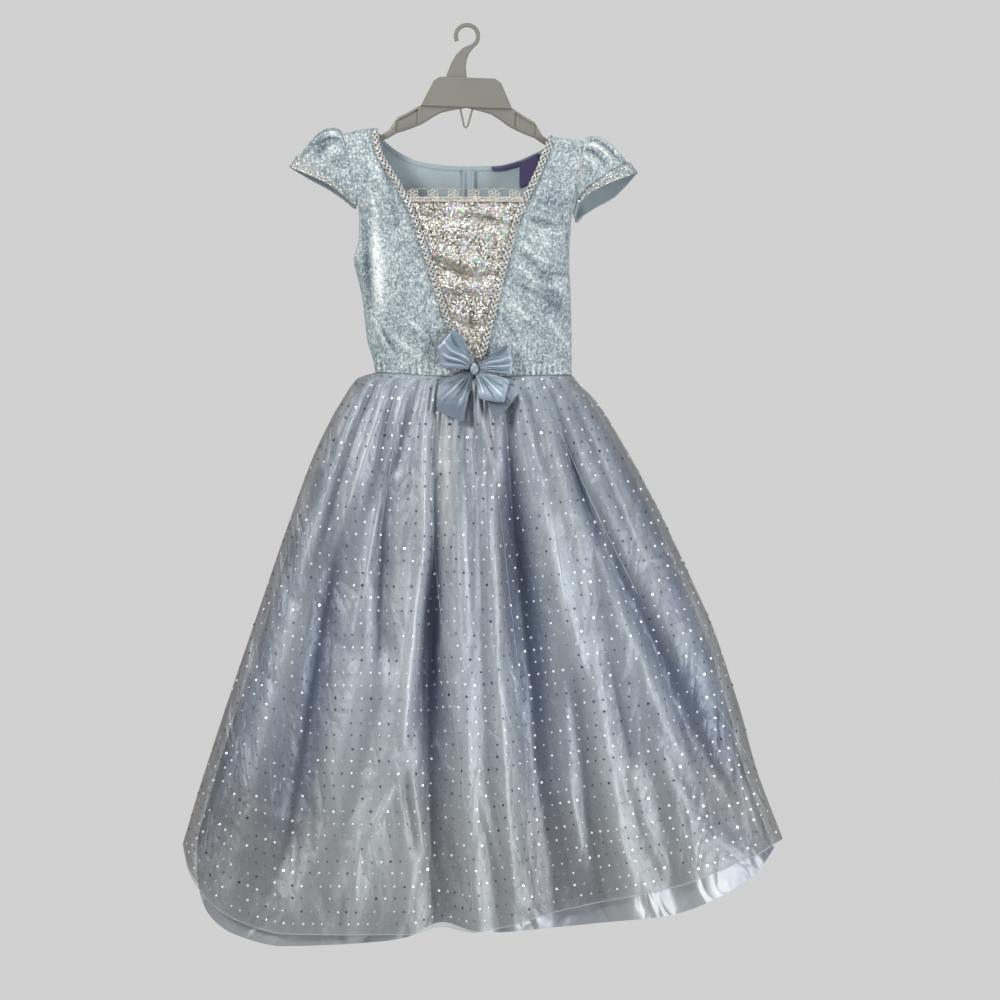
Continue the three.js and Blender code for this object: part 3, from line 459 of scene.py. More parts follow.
# The crisp edges of the organza's doubled folds, and its rolled hem
PLEAT_EDGES = {
    "front": (
        table("z x", (-483, -44), (-538, -48), (-648, -50), (-707, -59), (-804, -61)),
        table("z x", (-475, 17), (-509, 28), (-551, 33), (-593, 41), (-682, 51), (-804, 66)),
        table("z x", (-462, 79), (-580, 102), (-698, 121), (-804, 150)),
        table("z x", (-487, 112), (-589, 158), (-682, 205)),
        table("z x", (-593, -42), (-686, -33), (-804, -18), (-966, 1), (-1060, 8)),
        table("z x", (-496, -86), (-648, -112), (-791, -149)),
        table("z x", (-467, -137), (-580, -179), (-682, -212)),
        table("z x", (-814, 300), (-890, 345)),
    ),
    "back": (
        table("z x", (-470, -60), (-620, -84), (-800, -120)),
        table("z x", (-470, 24), (-640, 30), (-860, 44), (-1050, 52)),
        table("z x", (-480, 104), (-650, 160), (-820, 214)),
        table("z x", (-500, -130), (-660, -190), (-800, -232)),
        table("z x", (-930, -150), (-1040, -168)),
    ),
}
PLEAT_EDGE = {"thread": 0.36, "hem_thread": 0.45, "out": 0.3}
# Fine gathers under the waist seam: how many across each face, and their height down the skirt
FINE_GATHERS = {"front": 41, "back": 33}
FINE_HEIGHT = table(
    "w out",
    (0, 0.6),
    (0.02, 1.5),
    (0.05, 1.3),
    (0.12, 0.5),
    (0.25, 0.1),
    (0.5, 0),
    (1, 0),
)
RIPPLES = {"front": 19, "back": 15}
RIPPLE_HEIGHT = table("w out", (0, 0), (0.08, 1.2), (0.25, 1.4), (0.5, 1.2), (0.75, 1.0), (1, 1.4))

# Trims and labels
PLAIT = {
    "from": -122, "bottom": -398, "out": 2.9, "half": 3.0, "rise": 0.9, "period": 20,
    "thread": 0.66, "painted_shade_tape": 7.4,
}
FLOWER = {
    "first": -65, "pitch": 24.4, "count": 6, "z": -202, "petals": 6, "reach": 4.6, "loop": 2.2,
}
LACE = {
    "top": -206, "bottom": -211, "out": 1.9, "thread": 0.7, "arc_z": -197.5, "arc": 0.4,
    "rise": 3.0,
}
SEQUIN = {"radius": 1.25, "across": 2.2, "down": 1.95, "out": 1.0}
FOIL = {"radius": 1.35, "across": 11.6, "down": 14.8, "out": 0.35}
PLACKET = {"left": -5, "right": 9, "top": -171, "bottom": -404}
CARE_LABEL = {"left": 63, "right": 86, "below": 2, "height": 31}
NECK_LABEL = {"left": 30, "right": 62, "below": 1.2, "height": 5}
LABEL = 0.6
NECK_FOLD = {"below": 5.6, "half": 1.5, "groove": 1.3}
LINING_GAP = 0.9
CURL = {"at": (0.12, 0.88), "half": 0.07}

# The bow
BOW_LIE = table(
    "z y",
    (-345, -33),
    (-380, -31.5),
    (-400, -30),
    (-416, -29),
    (-425, -35),
    (-432, -41),
    (-448, -50),
    (-485, -59),
)
KNOT = {
    "x": 9, "y": -31.4, "z": -411, "halfWidth": 6.5, "halfHeight": 7, "halfDepth": 4.5, "gap": 0.65,
    "drawn_in": 0.74,
}
BOW = table(
    "from to near middle far deep off root open",
    (177, 107, 41, 51, 53, 9, 1, 0.8, 26),
    (-9, 43, 45, 47, 49, 9, 1, 0.8, 16),
    (-80, -17, 36, 53, 45, 8, 3, 0.8, 0),
    (198, 258, 44, 67, 65, 0, 1.4, -2.9, 0),
    (-24, -69, 61, 61, 67, 0, 1, -2.9, 0),
)
BOW_PIECES = ("loop_left", "loop_right", "loop_lower", "tail_left", "tail_right")
# Creases of each bow piece: place across it, how far out each runs from the knot, half width and
# height
BOW_CREASES = {
    "loop_left": table(
        "b reach half out",
        (0.12, 0.9, 0.022, 1.35),
        (0.3, 0.75, 0.025, -2.25),
        (0.45, 0.8, 0.025, 1.95),
        (0.6, 0.6, 0.022, -2.1),
        (0.75, 0.9, 0.025, 1.65),
    ),
    "loop_right": table(
        "b reach half out",
        (0.16, 0.8, 0.025, -1.8),
        (0.36, 0.95, 0.025, 1.8),
        (0.52, 0.9, 0.019, -1.95),
        (0.7, 0.9, 0.031, 1.5),
        (0.85, 0.6, 0.025, -1.35),
    ),
    "loop_lower": table(
        "b reach half out",
        (0.18, 0.7, 0.031, 1.5),
        (0.4, 0.95, 0.028, -2.25),
        (0.58, 0.95, 0.025, 2.1),
        (0.78, 0.8, 0.025, -1.65),
    ),
    "tail_left": table(
        "b reach half out",
        (0.2, 0.6, 0.031, -1.5),
        (0.42, 0.75, 0.037, 1.5),
        (0.66, 0.5, 0.031, -1.35),
        (0.84, 0.65, 0.031, 1.2),
    ),
    "tail_right": table(
        "b reach half out",
        (0.25, 0.6, 0.031, 1.35),
        (0.5, 0.7, 0.031, -1.5),
        (0.75, 0.6, 0.031, 1.35),
    ),
}
RIBBON_PLEATS = {"count": 5, "height": 0.8}
# Crease height in millimetres that spans the ribbon's painted light and shade, and the tails'
# painted shade
RIBBON_PAINTED_SHADE_SPAN = 3.4
TAIL_PAINTED_SHADE = 0.9
STRAIGHTNESS = 0.75
KNOT_RIBS = {"count": 8, "deep": 0.18, "sway": 2.2}
# Painted light and shade over the knot's ribs: strength and middle
KNOT_PAINTED_SHADE = {"ridge": 2.2, "middle": 0.9}

# Colours


def srgb(red, green, blue):
    def linear(v):
        v /= 255
        return v / 12.92 if v <= 0.04045 else ((v + 0.055) / 1.055) ** 2.4

    return (linear(red), linear(green), linear(blue), 1.0)


# The crushed velvet's dark, middle and light colours; crease ridges and valleys are painted lighter
# and darker along them
VELVET_DARK = srgb(80, 96, 106)
VELVET_MID = srgb(152, 166, 171)
VELVET_LIGHT = srgb(240, 245, 245)
REVERSE_BLUE = srgb(158, 172, 178)
# The satin: painted highlight for its ridges, its own blue, and painted shade for its valleys
SATIN_PAINTED_HIGHLIGHT = srgb(188, 193, 195)
SATIN_BLUE = srgb(150, 159, 170)
SATIN_PAINTED_SHADE = srgb(106, 118, 143)
# The organza: its own grey, painted shade for its valleys, and the warm grey of bunched streaks,
# which is partly painted sheen and shade
ORGANZA_GREY = srgb(206, 215, 222)
ORGANZA_PAINTED_SHADE = srgb(110, 120, 134)
BUNCH_SHEEN_AND_SHADE_GREY = srgb(146, 140, 133)
HEM_GREY = srgb(157, 158, 154)
# The ribbon's own blue, and its painted highlight for crease ridges
RIBBON_BLUE = srgb(132, 148, 163)
RIBBON_PAINTED_HIGHLIGHT = srgb(200, 210, 217)
LABEL_PURPLE = srgb(72, 60, 112)
PLASTIC_GREY = srgb(132, 130, 122)
SILVER = srgb(232, 233, 232)
# Painted shade for the gaps of the silver plait
PLAIT_SHADE_DARK = srgb(70, 70, 68)
LACE_WHITE = srgb(222, 220, 212)
THREAD_BLUE = srgb(176, 192, 202)
BACKGROUND = srgb(209, 209, 209)

# Curves and grids


def clamp01(t):
    return np.clip(t, 0, 1)


def ease(t):
    t = clamp01(t)
    return t * t * (3 - 2 * t)


def lerp(a, b, t):
    return a + (b - a) * t


def bump(away, half):
    """A smooth rise to 1 where away is 0, and down to a third where it is the half width."""
    return np.exp(-((away / half) ** 2))


def curve(rows, key, column):
    """A smooth curve through one column of a table, with no overshoot between its rows."""
    order = np.argsort(rows[key])
    at, value = rows[key][order], rows[column][order]
    slope = np.diff(value) / np.diff(at)
    tangent = np.zeros(len(at))
    tangent[0], tangent[-1] = slope[0], slope[-1]
    before, after = slope[:-1], slope[1:]
    turning = before * after <= 0
    total = np.where(turning, 1, before + after)
    tangent[1:-1] = np.where(turning, 0, 2 * before * after / total)

    def read(x):
        x = np.clip(x, at[0], at[-1])
        i = np.clip(np.searchsorted(at, x, side="right") - 1, 0, len(at) - 2)
        width = at[i + 1] - at[i]
        t = (x - at[i]) / width
        held = value[i] * (1 + 2 * t) * (1 - t) ** 2 + value[i + 1] * t * t * (3 - 2 * t)
        return held + width * (tangent[i] * t * (1 - t) ** 2 - tangent[i + 1] * t * t * (1 - t))

    return read


def columns_of(rows, key, *names):
    return {name: curve(rows, key, name) for name in names}


bodice = columns_of(BODICE, "z", "left", "right", "edge", "front", "back")
front_edge = columns_of(FRONT_EDGE, "z", "left", "right")
back_neck = curve(BACK_NECK, "x", "z")
waist_line = curve(WAIST_LINE, "x", "z")
shoulder_line = curve(SHOULDER_LINE, "x", "z")
bow_lie = curve(BOW_LIE, "z", "y")
hem = columns_of(HEM, "u", "x", "z")
spread = columns_of(SPREAD, "w", "left", "right", "front", "back")
lengths = columns_of(LENGTHS, "u", "organza", "satin")
layer_gap = columns_of(LAYER_GAP, "w", "middle", "side")
gather_height = curve(GATHER_HEIGHT, "w", "out")
fine_height = curve(FINE_HEIGHT, "w", "out")
ripple_height = curve(RIPPLE_HEIGHT, "w", "out")


def creased(across, down, rows, names="x0 z0 x1 z1"):
    """How far a set of straight soft creases stands out at each place."""
    total = np.zeros(np.broadcast(across, down).shape)
    for x0, z0, x1, z1, half, out in rows_of(rows, names + " half out"):
        dx, dz = x1 - x0, z1 - z0
        along = ((across - x0) * dx + (down - z0) * dz) / (dx * dx + dz * dz)
        near = clamp01(along)
        away = np.hypot(across - x0 - near * dx, down - z0 - near * dz)
        total += out * bump(away, half) * (0.45 + 0.55 * np.sin(np.pi * near))
    return total


def stack(x, y, z):
    return np.stack(np.broadcast_arrays(x, y, z), -1).astype(float)


def grid_normals(grid):
    across = np.gradient(grid, axis=1)
    down = np.gradient(grid, axis=0)
    normal = np.cross(across, down)
    return normal / np.maximum(np.linalg.norm(normal, axis=-1, keepdims=True), 1e-9)


def cloth_lengths(grid):
    """Where each grid point lies on its own cloth, in metres across and down."""
    across = np.linalg.norm(np.diff(grid, axis=1), axis=-1)
    down = np.linalg.norm(np.diff(grid, axis=0), axis=-1)
    u = np.concatenate([np.zeros((grid.shape[0], 1)), np.cumsum(across, 1)], 1)
    u -= u[:, u.shape[1] // 2][:, None]
    v = np.concatenate([np.zeros((1, grid.shape[1])), np.cumsum(down, 0)], 0)
    return np.stack([u, -v], -1) * MM


# Meshes


def piece_of(name, points, faces, uv, materials, face_slots=None):
    mesh = bpy.data.meshes.new(name)
    mesh.from_pydata((points * MM).tolist(), [], faces.tolist())
    for material in materials:
        mesh.materials.append(material)
    mesh.polygons.foreach_set("use_smooth", np.ones(len(mesh.polygons), bool))
    if face_slots is not None:
        mesh.polygons.foreach_set("material_index", face_slots)
    corner = np.zeros(len(mesh.loops), np.int32)
    mesh.loops.foreach_get("vertex_index", corner)
    mesh.uv_layers.new(name="cloth").data.foreach_set("uv", uv[corner].ravel())
    mesh.update()
    return shown_object(name, mesh)


def points_of(mesh):
    place = np.zeros(len(mesh.vertices) * 3)
    mesh.vertices.foreach_get("co", place)
    return place.reshape(-1, 3) / MM


def shown_object(name, data):
    made = bpy.data.objects.new(name, data)
    bpy.context.scene.collection.objects.link(made)
    return made


def quads_of(rows, columns, start=0):
    index = np.arange(rows * columns).reshape(rows, columns) + start
    corners = (index[:-1, :-1], index[:-1, 1:], index[1:, 1:], index[1:, :-1])
    return np.stack(corners, -1).reshape(-1, 4)


def sheer_sheet(name, grid, material, outside):
    """One open layer of cloth with its right side out."""
    faces = quads_of(*grid.shape[:2])
    if outside < 0:
        faces = faces[:, ::-1]
    return piece_of(
        name, grid.reshape(-1, 3), faces, cloth_lengths(grid).reshape(-1, 2), [material],
    )


def cloth_shell(name, grid, thickness, materials, outside=1, pin=None, hem_fold=None):
    """A thin closed shell of cloth. Outside is 1 where the grid's normals point to the cloth's
    right side. The function pin sets the places of the edge points, and hem_fold thickens the wrong
    side by that much."""
    rows, columns = grid.shape[:2]
    normals = grid_normals(grid) * outside
    fold = 0 if hem_fold is None else hem_fold[..., None]
    layers = [grid + normals * thickness / 2, grid - normals * (thickness / 2 + fold)]
    if pin:
        for layer in layers:
            pin(layer)
    size = rows * columns
    index = np.arange(size).reshape(rows, columns)
    inner = index + size
    right = quads_of(rows, columns)
    wrong = quads_of(rows, columns, size)[:, ::-1]
    rim = [
        np.stack([index[0, 1:], index[0, :-1], inner[0, :-1], inner[0, 1:]], -1),
        np.stack([index[-1, :-1], index[-1, 1:], inner[-1, 1:], inner[-1, :-1]], -1),
        np.stack([index[:-1, 0], index[1:, 0], inner[1:, 0], inner[:-1, 0]], -1),
        np.stack([index[1:, -1], index[:-1, -1], inner[:-1, -1], inner[1:, -1]], -1),
    ]
    faces = np.concatenate([right, wrong, *rim])
    if outside < 0:
        faces = faces[:, ::-1]
    slots = np.zeros(len(faces), np.int32)
    if len(materials) > 1:
        slots[len(right) : 2 * len(right)] = 1
    uv = np.tile(cloth_lengths(grid).reshape(-1, 2), (2, 1))
    piece = piece_of(
        name, np.concatenate([layer.reshape(-1, 3) for layer in layers]), faces, uv, materials,
        slots,
    )
    piece.data.set_sharp_from_angle(angle=math.radians(60))
    return piece


# Node helpers


def node(tree, kind, inputs=None, **settings):
    made = tree.nodes.new(kind)
    for key, value in settings.items():
        setattr(made, key, value)
    for key, value in (inputs or {}).items():
        socket = made.inputs[key]
        if isinstance(value, bpy.types.NodeSocket):
            tree.links.new(value, socket)
        else:
            socket.default_value = value
    return made


def shader_group(name, inputs, outputs):
    tree = bpy.data.node_groups.new(name, "ShaderNodeTree")
    for socket, (kind, value) in inputs.items():
        made = tree.interface.new_socket(socket, in_out="INPUT", socket_type=kind)
        if value is not None:
            made.default_value = value
    for socket, kind in outputs.items():
        tree.interface.new_socket(socket, in_out="OUTPUT", socket_type=kind)
    return tree, tree.nodes.new("NodeGroupInput").outputs, tree.nodes.new("NodeGroupOutput").inputs


def ramp(tree, factor, *stops):
    made = node(tree, "ShaderNodeValToRGB", {"Fac": factor})
    elements = made.color_ramp.elements
    while len(elements) < len(stops):
        elements.new(1)
    for element, (place, colour) in zip(elements, stops):
        element.position, element.color = place, colour
    return made.outputs["Color"]


def sum_of(tree, operation, *values, clamp=False):
    """One sum, in the order that the values are given."""
    return node(
        tree, "ShaderNodeMath", dict(enumerate(values)), operation=operation, use_clamp=clamp,
    ).outputs[0]


def between(tree, value, least, most, **ends):
    given = {"Value": value, "To Min": least, "To Max": most, **ends}
    return node(tree, "ShaderNodeMapRange", given).outputs["Result"]


def blend(tree, factor, first, second):
    inputs = {"Factor": factor, "A": first, "B": second}
    return node(tree, "ShaderNodeMix", inputs, data_type="FLOAT").outputs["Result"]


def tint(tree, factor, first, second):
    return node(
        tree, "ShaderNodeMix", {"Factor": factor, 6: first, 7: second}, data_type="RGBA",
    ).outputs[2]


# Shading groups


def mottle_group():
    """Cloud-like light and dark patches of two sizes, for cloth and plastic that isn't quite
    even."""
    tree, given, result = shader_group(
        "uneven_tone",
        {
            "Vector": ("NodeSocketVector", None),
            "Patch Scale": ("NodeSocketFloat", 40.0),
            "Grain Scale": ("NodeSocketFloat", 400.0),
            "Grain Share": ("NodeSocketFloat", 0.4),
            "Contrast": ("NodeSocketFloat", 1.0),
        },
        {"Tone": "NodeSocketFloat"},
    )

    def clouds(scale, detail):
        inputs = {
            "Vector": given["Vector"], "Scale": given[scale], "Detail": detail, "Roughness": 0.6,
        }
        return node(tree, "ShaderNodeTexNoise", inputs).outputs["Fac"]

    mixed = blend(
        tree, given["Grain Share"], clouds("Patch Scale", 4.0), clouds("Grain Scale", 3.0),
    )
    centred = sum_of(tree, "SUBTRACT", mixed, 0.5)
    tree.links.new(
        sum_of(tree, "MULTIPLY_ADD", centred, given["Contrast"], 0.5, clamp=True), result["Tone"],
    )
    return tree


def weave_group():
    """Crossing threads: a height and a mask from the cloth's own lengths, in threads to the
    metre."""
    tree, given, result = shader_group(
        "crossed_threads",
        {
            "Vector": ("NodeSocketVector", None),
            "Threads Across": ("NodeSocketFloat", 1500.0),
            "Threads Down": ("NodeSocketFloat", 1500.0),
        },
        {"Height": "NodeSocketFloat", "Thread": "NodeSocketFloat"},
    )
    split = node(tree, "ShaderNodeSeparateXYZ", {"Vector": given["Vector"]})

    def ribs(axis, count):
        angle = sum_of(
            tree, "MULTIPLY", sum_of(tree, "MULTIPLY", split.outputs[axis], given[count]),
            2 * math.pi,
        )
        return sum_of(tree, "MULTIPLY_ADD", sum_of(tree, "SINE", angle), 0.5, 0.5)

    warp, weft = ribs("X", "Threads Across"), ribs("Y", "Threads Down")
    tree.links.new(sum_of(tree, "MULTIPLY", warp, weft), result["Height"])
    tree.links.new(sum_of(tree, "MAXIMUM", warp, weft), result["Thread"])
    return tree


def crumple_group():
    """Soft small wrinkles of light cloth, longer down than across."""
    tree, given, result = shader_group(
        "small_wrinkles",
        {
            "Vector": ("NodeSocketVector", None),
            "Scale": ("NodeSocketFloat", 30.0),
            "Length": ("NodeSocketFloat", 0.3),
        },
        {"Height": "NodeSocketFloat"},
    )
    shape = node(tree, "ShaderNodeCombineXYZ", {"X": 1.0, "Y": given["Length"], "Z": 1.0})
    placed = node(
        tree, "ShaderNodeVectorMath", {0: given["Vector"], 1: shape.outputs[0]},
        operation="MULTIPLY",
    )
    cloud = {
        "Vector": placed.outputs[0], "Scale": given["Scale"], "Detail": 2.5, "Roughness": 0.5,
        "Distortion": 0.6,
    }
    folds = node(tree, "ShaderNodeTexNoise", cloud).outputs["Fac"]
    tree.links.new(sum_of(tree, "ABSOLUTE", sum_of(tree, "SUBTRACT", folds, 0.5)), result["Height"])
    return tree


def hem_grey_group():
    """The skirt's greyer tone towards its hem, by height in metres."""
    tree, given, result = shader_group(
        "greyer_towards_hem",
        {
            "Vector": ("NodeSocketVector", None),
            "Colour": ("NodeSocketColor", None),
            "Grey": ("NodeSocketColor", None),
            "Most": ("NodeSocketFloat", 0.5),
        },
        {"Colour": "NodeSocketColor"},
    )
    height = node(tree, "ShaderNodeSeparateXYZ", {"Vector": given["Vector"]}).outputs["Z"]
    low = between(tree, height, 0.0, given["Most"], **{"From Min": -0.8, "From Max": -1.0})
    tree.links.new(tint(tree, low, given["Colour"], given["Grey"]), result["Colour"])
    return tree


MOTTLE = mottle_group()
HEM_TONE = hem_grey_group()
WEAVE = weave_group()
CRUMPLE = crumple_group()


def finish_of(name):
    material = bpy.data.materials.new(name)
    material.use_nodes = True
    tree = material.node_tree
    return material, tree, tree.nodes["Principled BSDF"]


def group(tree, made_from, inputs):
    made = node(tree, "ShaderNodeGroup", node_tree=made_from)
    for key, value in inputs.items():
        if isinstance(value, bpy.types.NodeSocket):
            tree.links.new(value, made.inputs[key])
        else:
            made.inputs[key].default_value = value
    return made


def place_of(tree, space="Object", stretch=(1, 1, 1)):
    source = node(tree, "ShaderNodeTexCoord").outputs[space]
    return node(tree, "ShaderNodeMapping", {"Vector": source, "Scale": stretch}).outputs["Vector"]


def tone_of(tree, patch, grain, share, contrast, stretch=(1, 1, 1)):
    """Uneven light and dark in the object's own space: patches and grain to the metre."""
    scales = {
        "Patch Scale": patch, "Grain Scale": grain, "Grain Share": share, "Contrast": contrast,
    }
    return group(
        tree, MOTTLE, {"Vector": place_of(tree, stretch=stretch), **scales},
    ).outputs["Tone"]


def weave_of(tree, across, down, output="Height"):
    """The cloth's threads, in threads to the metre of its own lengths."""
    counts = {"Threads Across": across, "Threads Down": down}
    return group(tree, WEAVE, {"Vector": place_of(tree, "UV"), **counts}).outputs[output]


def wrinkles_of(tree, scale, length):
    return group(
        tree, CRUMPLE, {"Vector": place_of(tree, "UV"), "Scale": scale, "Length": length},
    ).outputs["Height"]


def attribute(tree, name):
    return node(
        tree, "ShaderNodeAttribute", attribute_name=name, attribute_type="GEOMETRY",
    ).outputs["Fac"]


def stops_of(places, colours):
    return [(place, srgb(*colour)) for place, colour in zip(places, colours)]


def darker(colour, share):
    return tuple(channel * share for channel in colour[:3]) + (1,)


def set_plain(bsdf, **values):
    for key, value in values.items():
        bsdf.inputs[key.replace("_", " ")].default_value = value


def relief(tree, bsdf, *layers):
    """Bump layers one over another, each a height, a strength and a depth in metres."""
    normal = None
    for height, strength, depth in layers:
        inputs = {"Height": height, "Strength": strength, "Distance": depth}
        if normal is not None:
            inputs["Normal"] = normal
        normal = node(tree, "ShaderNodeBump", inputs).outputs["Normal"]
    tree.links.new(normal, bsdf.inputs["Normal"])


# Finishes


def crushed_velvet():
    material, tree, bsdf = finish_of("crushed_velvet")
    nap = tone_of(tree, 380.0, 1000.0, 0.45, 4.0, stretch=(1, 1, 0.8))
    lie = tone_of(tree, 26.0, 110.0, 0.5, 2.6)
    # Painted light and shade: the velvet is lighter on its crease ridges and darker in their
    # valleys and between the waist puckers
    painted_crease_light = sum_of(tree, "MULTIPLY_ADD", attribute(tree, "ridge"), 0.8, -0.4)
    both = sum_of(tree, "ADD", blend(tree, 0.34, nap, lie), painted_crease_light, clamp=True)
    colour = ramp(tree, both, (0.1, VELVET_DARK), (0.5, VELVET_MID), (0.9, VELVET_LIGHT))
    tree.links.new(colour, bsdf.inputs["Base Color"])
    tree.links.new(between(tree, both, 0.62, 0.4), bsdf.inputs["Roughness"])
    set_plain(
        bsdf, Sheen_Weight=0.55, Sheen_Roughness=0.35, Sheen_Tint=(0.86, 0.93, 1, 1),
        Specular_IOR_Level=0.45,
    )
    relief(tree, bsdf, (nap, 0.6, 0.0006), (lie, 0.8, 0.003))
    return material


def velvet_reverse():
    material, tree, bsdf = finish_of("velvet_reverse")
    weave = weave_of(tree, 900.0, 500.0)
    tone = tone_of(tree, 30.0, 300.0, 0.3, 1.0)
    light = tuple(min(1, channel * 1.18) for channel in REVERSE_BLUE)
    tree.links.new(
        ramp(tree, tone, (0.2, darker(REVERSE_BLUE, 0.84)), (0.8, light)),
        bsdf.inputs["Base Color"],
    )
    set_plain(bsdf, Roughness=0.78, Sheen_Weight=0.25, Sheen_Roughness=0.5)
    relief(tree, bsdf, (weave, 0.3, 0.0003), (tone, 0.2, 0.001))
    return material


def smooth_satin():
    material, tree, bsdf = finish_of("smooth_satin")
    weave = weave_of(tree, 2200.0, 900.0)
    tone = tone_of(tree, 14.0, 60.0, 0.3, 1.8, stretch=(1, 1, 0.4))
    # Painted shade and highlight: darker and bluer in the skirt's valleys, at its sides and in
    # broad hollows low down, lighter on its ridges
    lie = blend(tree, 0.25, attribute(tree, "ridge"), tone)
    blue = ramp(tree, lie, (0.12, SATIN_PAINTED_SHADE), (0.45, SATIN_BLUE), (0.85, SATIN_PAINTED_HIGHLIGHT))
    lower = group(
        tree, HEM_TONE, {"Vector": place_of(tree), "Colour": blue, "Grey": HEM_GREY, "Most": 0.5},
    )
    tree.links.new(lower.outputs["Colour"], bsdf.inputs["Base Color"])
    tree.links.new(between(tree, tone, 0.46, 0.36), bsdf.inputs["Roughness"])
    set_plain(bsdf, Metallic=0.22, Specular_IOR_Level=0.85, Sheen_Weight=0.1, Sheen_Roughness=0.3)
    wrinkles, broad = wrinkles_of(tree, 20.0, 0.55), wrinkles_of(tree, 8.0, 0.5)
    relief(tree, bsdf, (weave, 0.12, 0.0002), (wrinkles, 1.0, 0.01), (broad, 0.8, 0.03))
    return material


def sheer_organza():
    """The cloth hides more where it turns away, lies on a ridge or is bunched, and between its
    threads it is open. The extra cover on ridges is painted light, the darker valleys painted
    shade, and the bunched grey partly painted sheen and shade."""
    material, tree, bsdf = finish_of("sheer_organza")
    tone = tone_of(tree, 26.0, 420.0, 0.45, 1.6, stretch=(1, 1, 0.35))
    ridge, bunch_sheen_and_shade = attribute(tree, "ridge"), attribute(tree, "bunch_sheen_and_shade")
    single = ramp(tree, blend(tree, 0.4, ridge, tone), (0.2, ORGANZA_PAINTED_SHADE), (0.75, ORGANZA_GREY))
    lower = group(
        tree, HEM_TONE, {"Vector": place_of(tree), "Colour": single, "Grey": HEM_GREY, "Most": 0.6},
    )
    tree.links.new(
        tint(tree, bunch_sheen_and_shade, lower.outputs["Colour"], BUNCH_SHEEN_AND_SHADE_GREY), bsdf.inputs["Base Color"],
    )
    facing = node(tree, "ShaderNodeLayerWeight", {"Blend": 0.35}).outputs["Facing"]
    # Painted light: the organza hides more of the satin on its ridges and less in its valleys,
    # where the darker satin shows as painted shade
    bunch_and_painted_ridge_cover = sum_of(tree, "ADD", bunch_sheen_and_shade, between(tree, ridge, -0.16, 0.3))
    cover = sum_of(tree, "ADD", between(tree, facing, 0.34, 0.95), bunch_and_painted_ridge_cover)
    threads = between(tree, weave_of(tree, 820.0, 820.0, "Thread"), 0.72, 1.16)
    tree.links.new(sum_of(tree, "MULTIPLY", cover, threads, clamp=True), bsdf.inputs["Alpha"])
    set_plain(
        bsdf, Roughness=0.4, Metallic=0.14, Specular_IOR_Level=0.7, Sheen_Weight=0.15,
        Sheen_Roughness=0.3,
    )
    weave, wrinkles = weave_of(tree, 820.0, 820.0), wrinkles_of(tree, 26.0, 0.5)
    relief(
        tree, bsdf, (weave, 0.25, 0.0004), (wrinkles, 0.8, 0.008),
        (wrinkles_of(tree, 7.0, 0.6), 0.8, 0.026),
    )
    return material


def ribbon_satin():
    material, tree, bsdf = finish_of("ribbon_satin")
    # Painted light and shade: lighter on the ribbon's crease ridges, darker in its creases, near
    # the knot and on the tails
    lie = blend(tree, 0.25, attribute(tree, "ridge"), tone_of(tree, 40.0, 260.0, 0.35, 1.1))
    colour = ramp(
        tree, lie, (0.15, darker(RIBBON_BLUE, 0.42)), (0.5, RIBBON_BLUE), (0.85, RIBBON_PAINTED_HIGHLIGHT),
    )
    tree.links.new(colour, bsdf.inputs["Base Color"])
    set_plain(
        bsdf, Roughness=0.36, Metallic=0.16, Specular_IOR_Level=0.7, Sheen_Weight=0.1,
        Sheen_Roughness=0.3,
    )
    relief(
        tree, bsdf, (weave_of(tree, 1800.0, 2600.0), 0.15, 0.0002),
        (wrinkles_of(tree, 55.0, 0.5), 0.6, 0.004),
    )
    return material


def sequin_ground():
    material, tree, bsdf = finish_of("sequin_ground")
    tone = tone_of(tree, 90.0, 700.0, 0.6, 2.2)
    colour = ramp(tree, tone, (0.2, srgb(96, 88, 78)), (0.8, srgb(184, 174, 156)))
    tree.links.new(colour, bsdf.inputs["Base Color"])
    set_plain(bsdf, Roughness=0.6, Sheen_Weight=0.2)
    relief(tree, bsdf, (weave_of(tree, 400.0, 400.0), 0.6, 0.0006))
    return material


def holographic(name, rough, colours, rainbow, metallic):
    """Small mirrors whose colour comes from each one's own random value, with patches where the
    rainbow shows. The greys from dark to bright are painted reflection, and the rainbow patches
    painted glints."""
    material, tree, bsdf = finish_of(name)
    painted_glint_and_hue = attribute(tree, "painted_glint_and_hue")
    patches = tone_of(tree, 38.0, 120.0, 0.25, 4.0)
    hue = sum_of(tree, "FRACT", sum_of(tree, "MULTIPLY_ADD", painted_glint_and_hue, 7.0, patches))
    bright = node(
        tree, "ShaderNodeCombineColor", {"Red": hue, "Green": 0.42, "Blue": 0.95}, mode="HSV",
    )
    strength = between(tree, patches, *rainbow, **{"From Min": 0.45, "From Max": 1.0})
    mixed = tint(tree, strength, ramp(tree, painted_glint_and_hue, *colours), bright.outputs["Color"])
    tree.links.new(mixed, bsdf.inputs["Base Color"])
    set_plain(bsdf, Roughness=rough, Metallic=metallic)
    return material


def sequin_foil():
    # Sequin greys from dark to bright: painted reflection and glint
    browns = (108, 102, 94), (166, 160, 148), (206, 202, 190), (246, 246, 242)
    return holographic(
        "sequin_foil", 0.26, stops_of((0.0, 0.22, 0.6, 0.88), browns), (0.0, 1.0), 0.7,
    )


def dot_foil():
    # Dot greys from dark to bright: painted dark reflection and painted bright glint
    blues = (48, 54, 66), (104, 114, 130), (184, 194, 208), (252, 253, 255)
    return holographic("dot_foil", 0.25, stops_of((0.0, 0.3, 0.58, 0.8), blues), (0.0, 0.15), 0.25)


def glitter():
    # Glitter greys from dark to bright: painted reflection and glint
    mixed = (104, 108, 108), (186, 178, 152), (206, 212, 214), (255, 254, 250)
    return holographic("glitter", 0.3, stops_of((0.0, 0.3, 0.55, 0.85), mixed), (0.05, 0.5), 0.6)


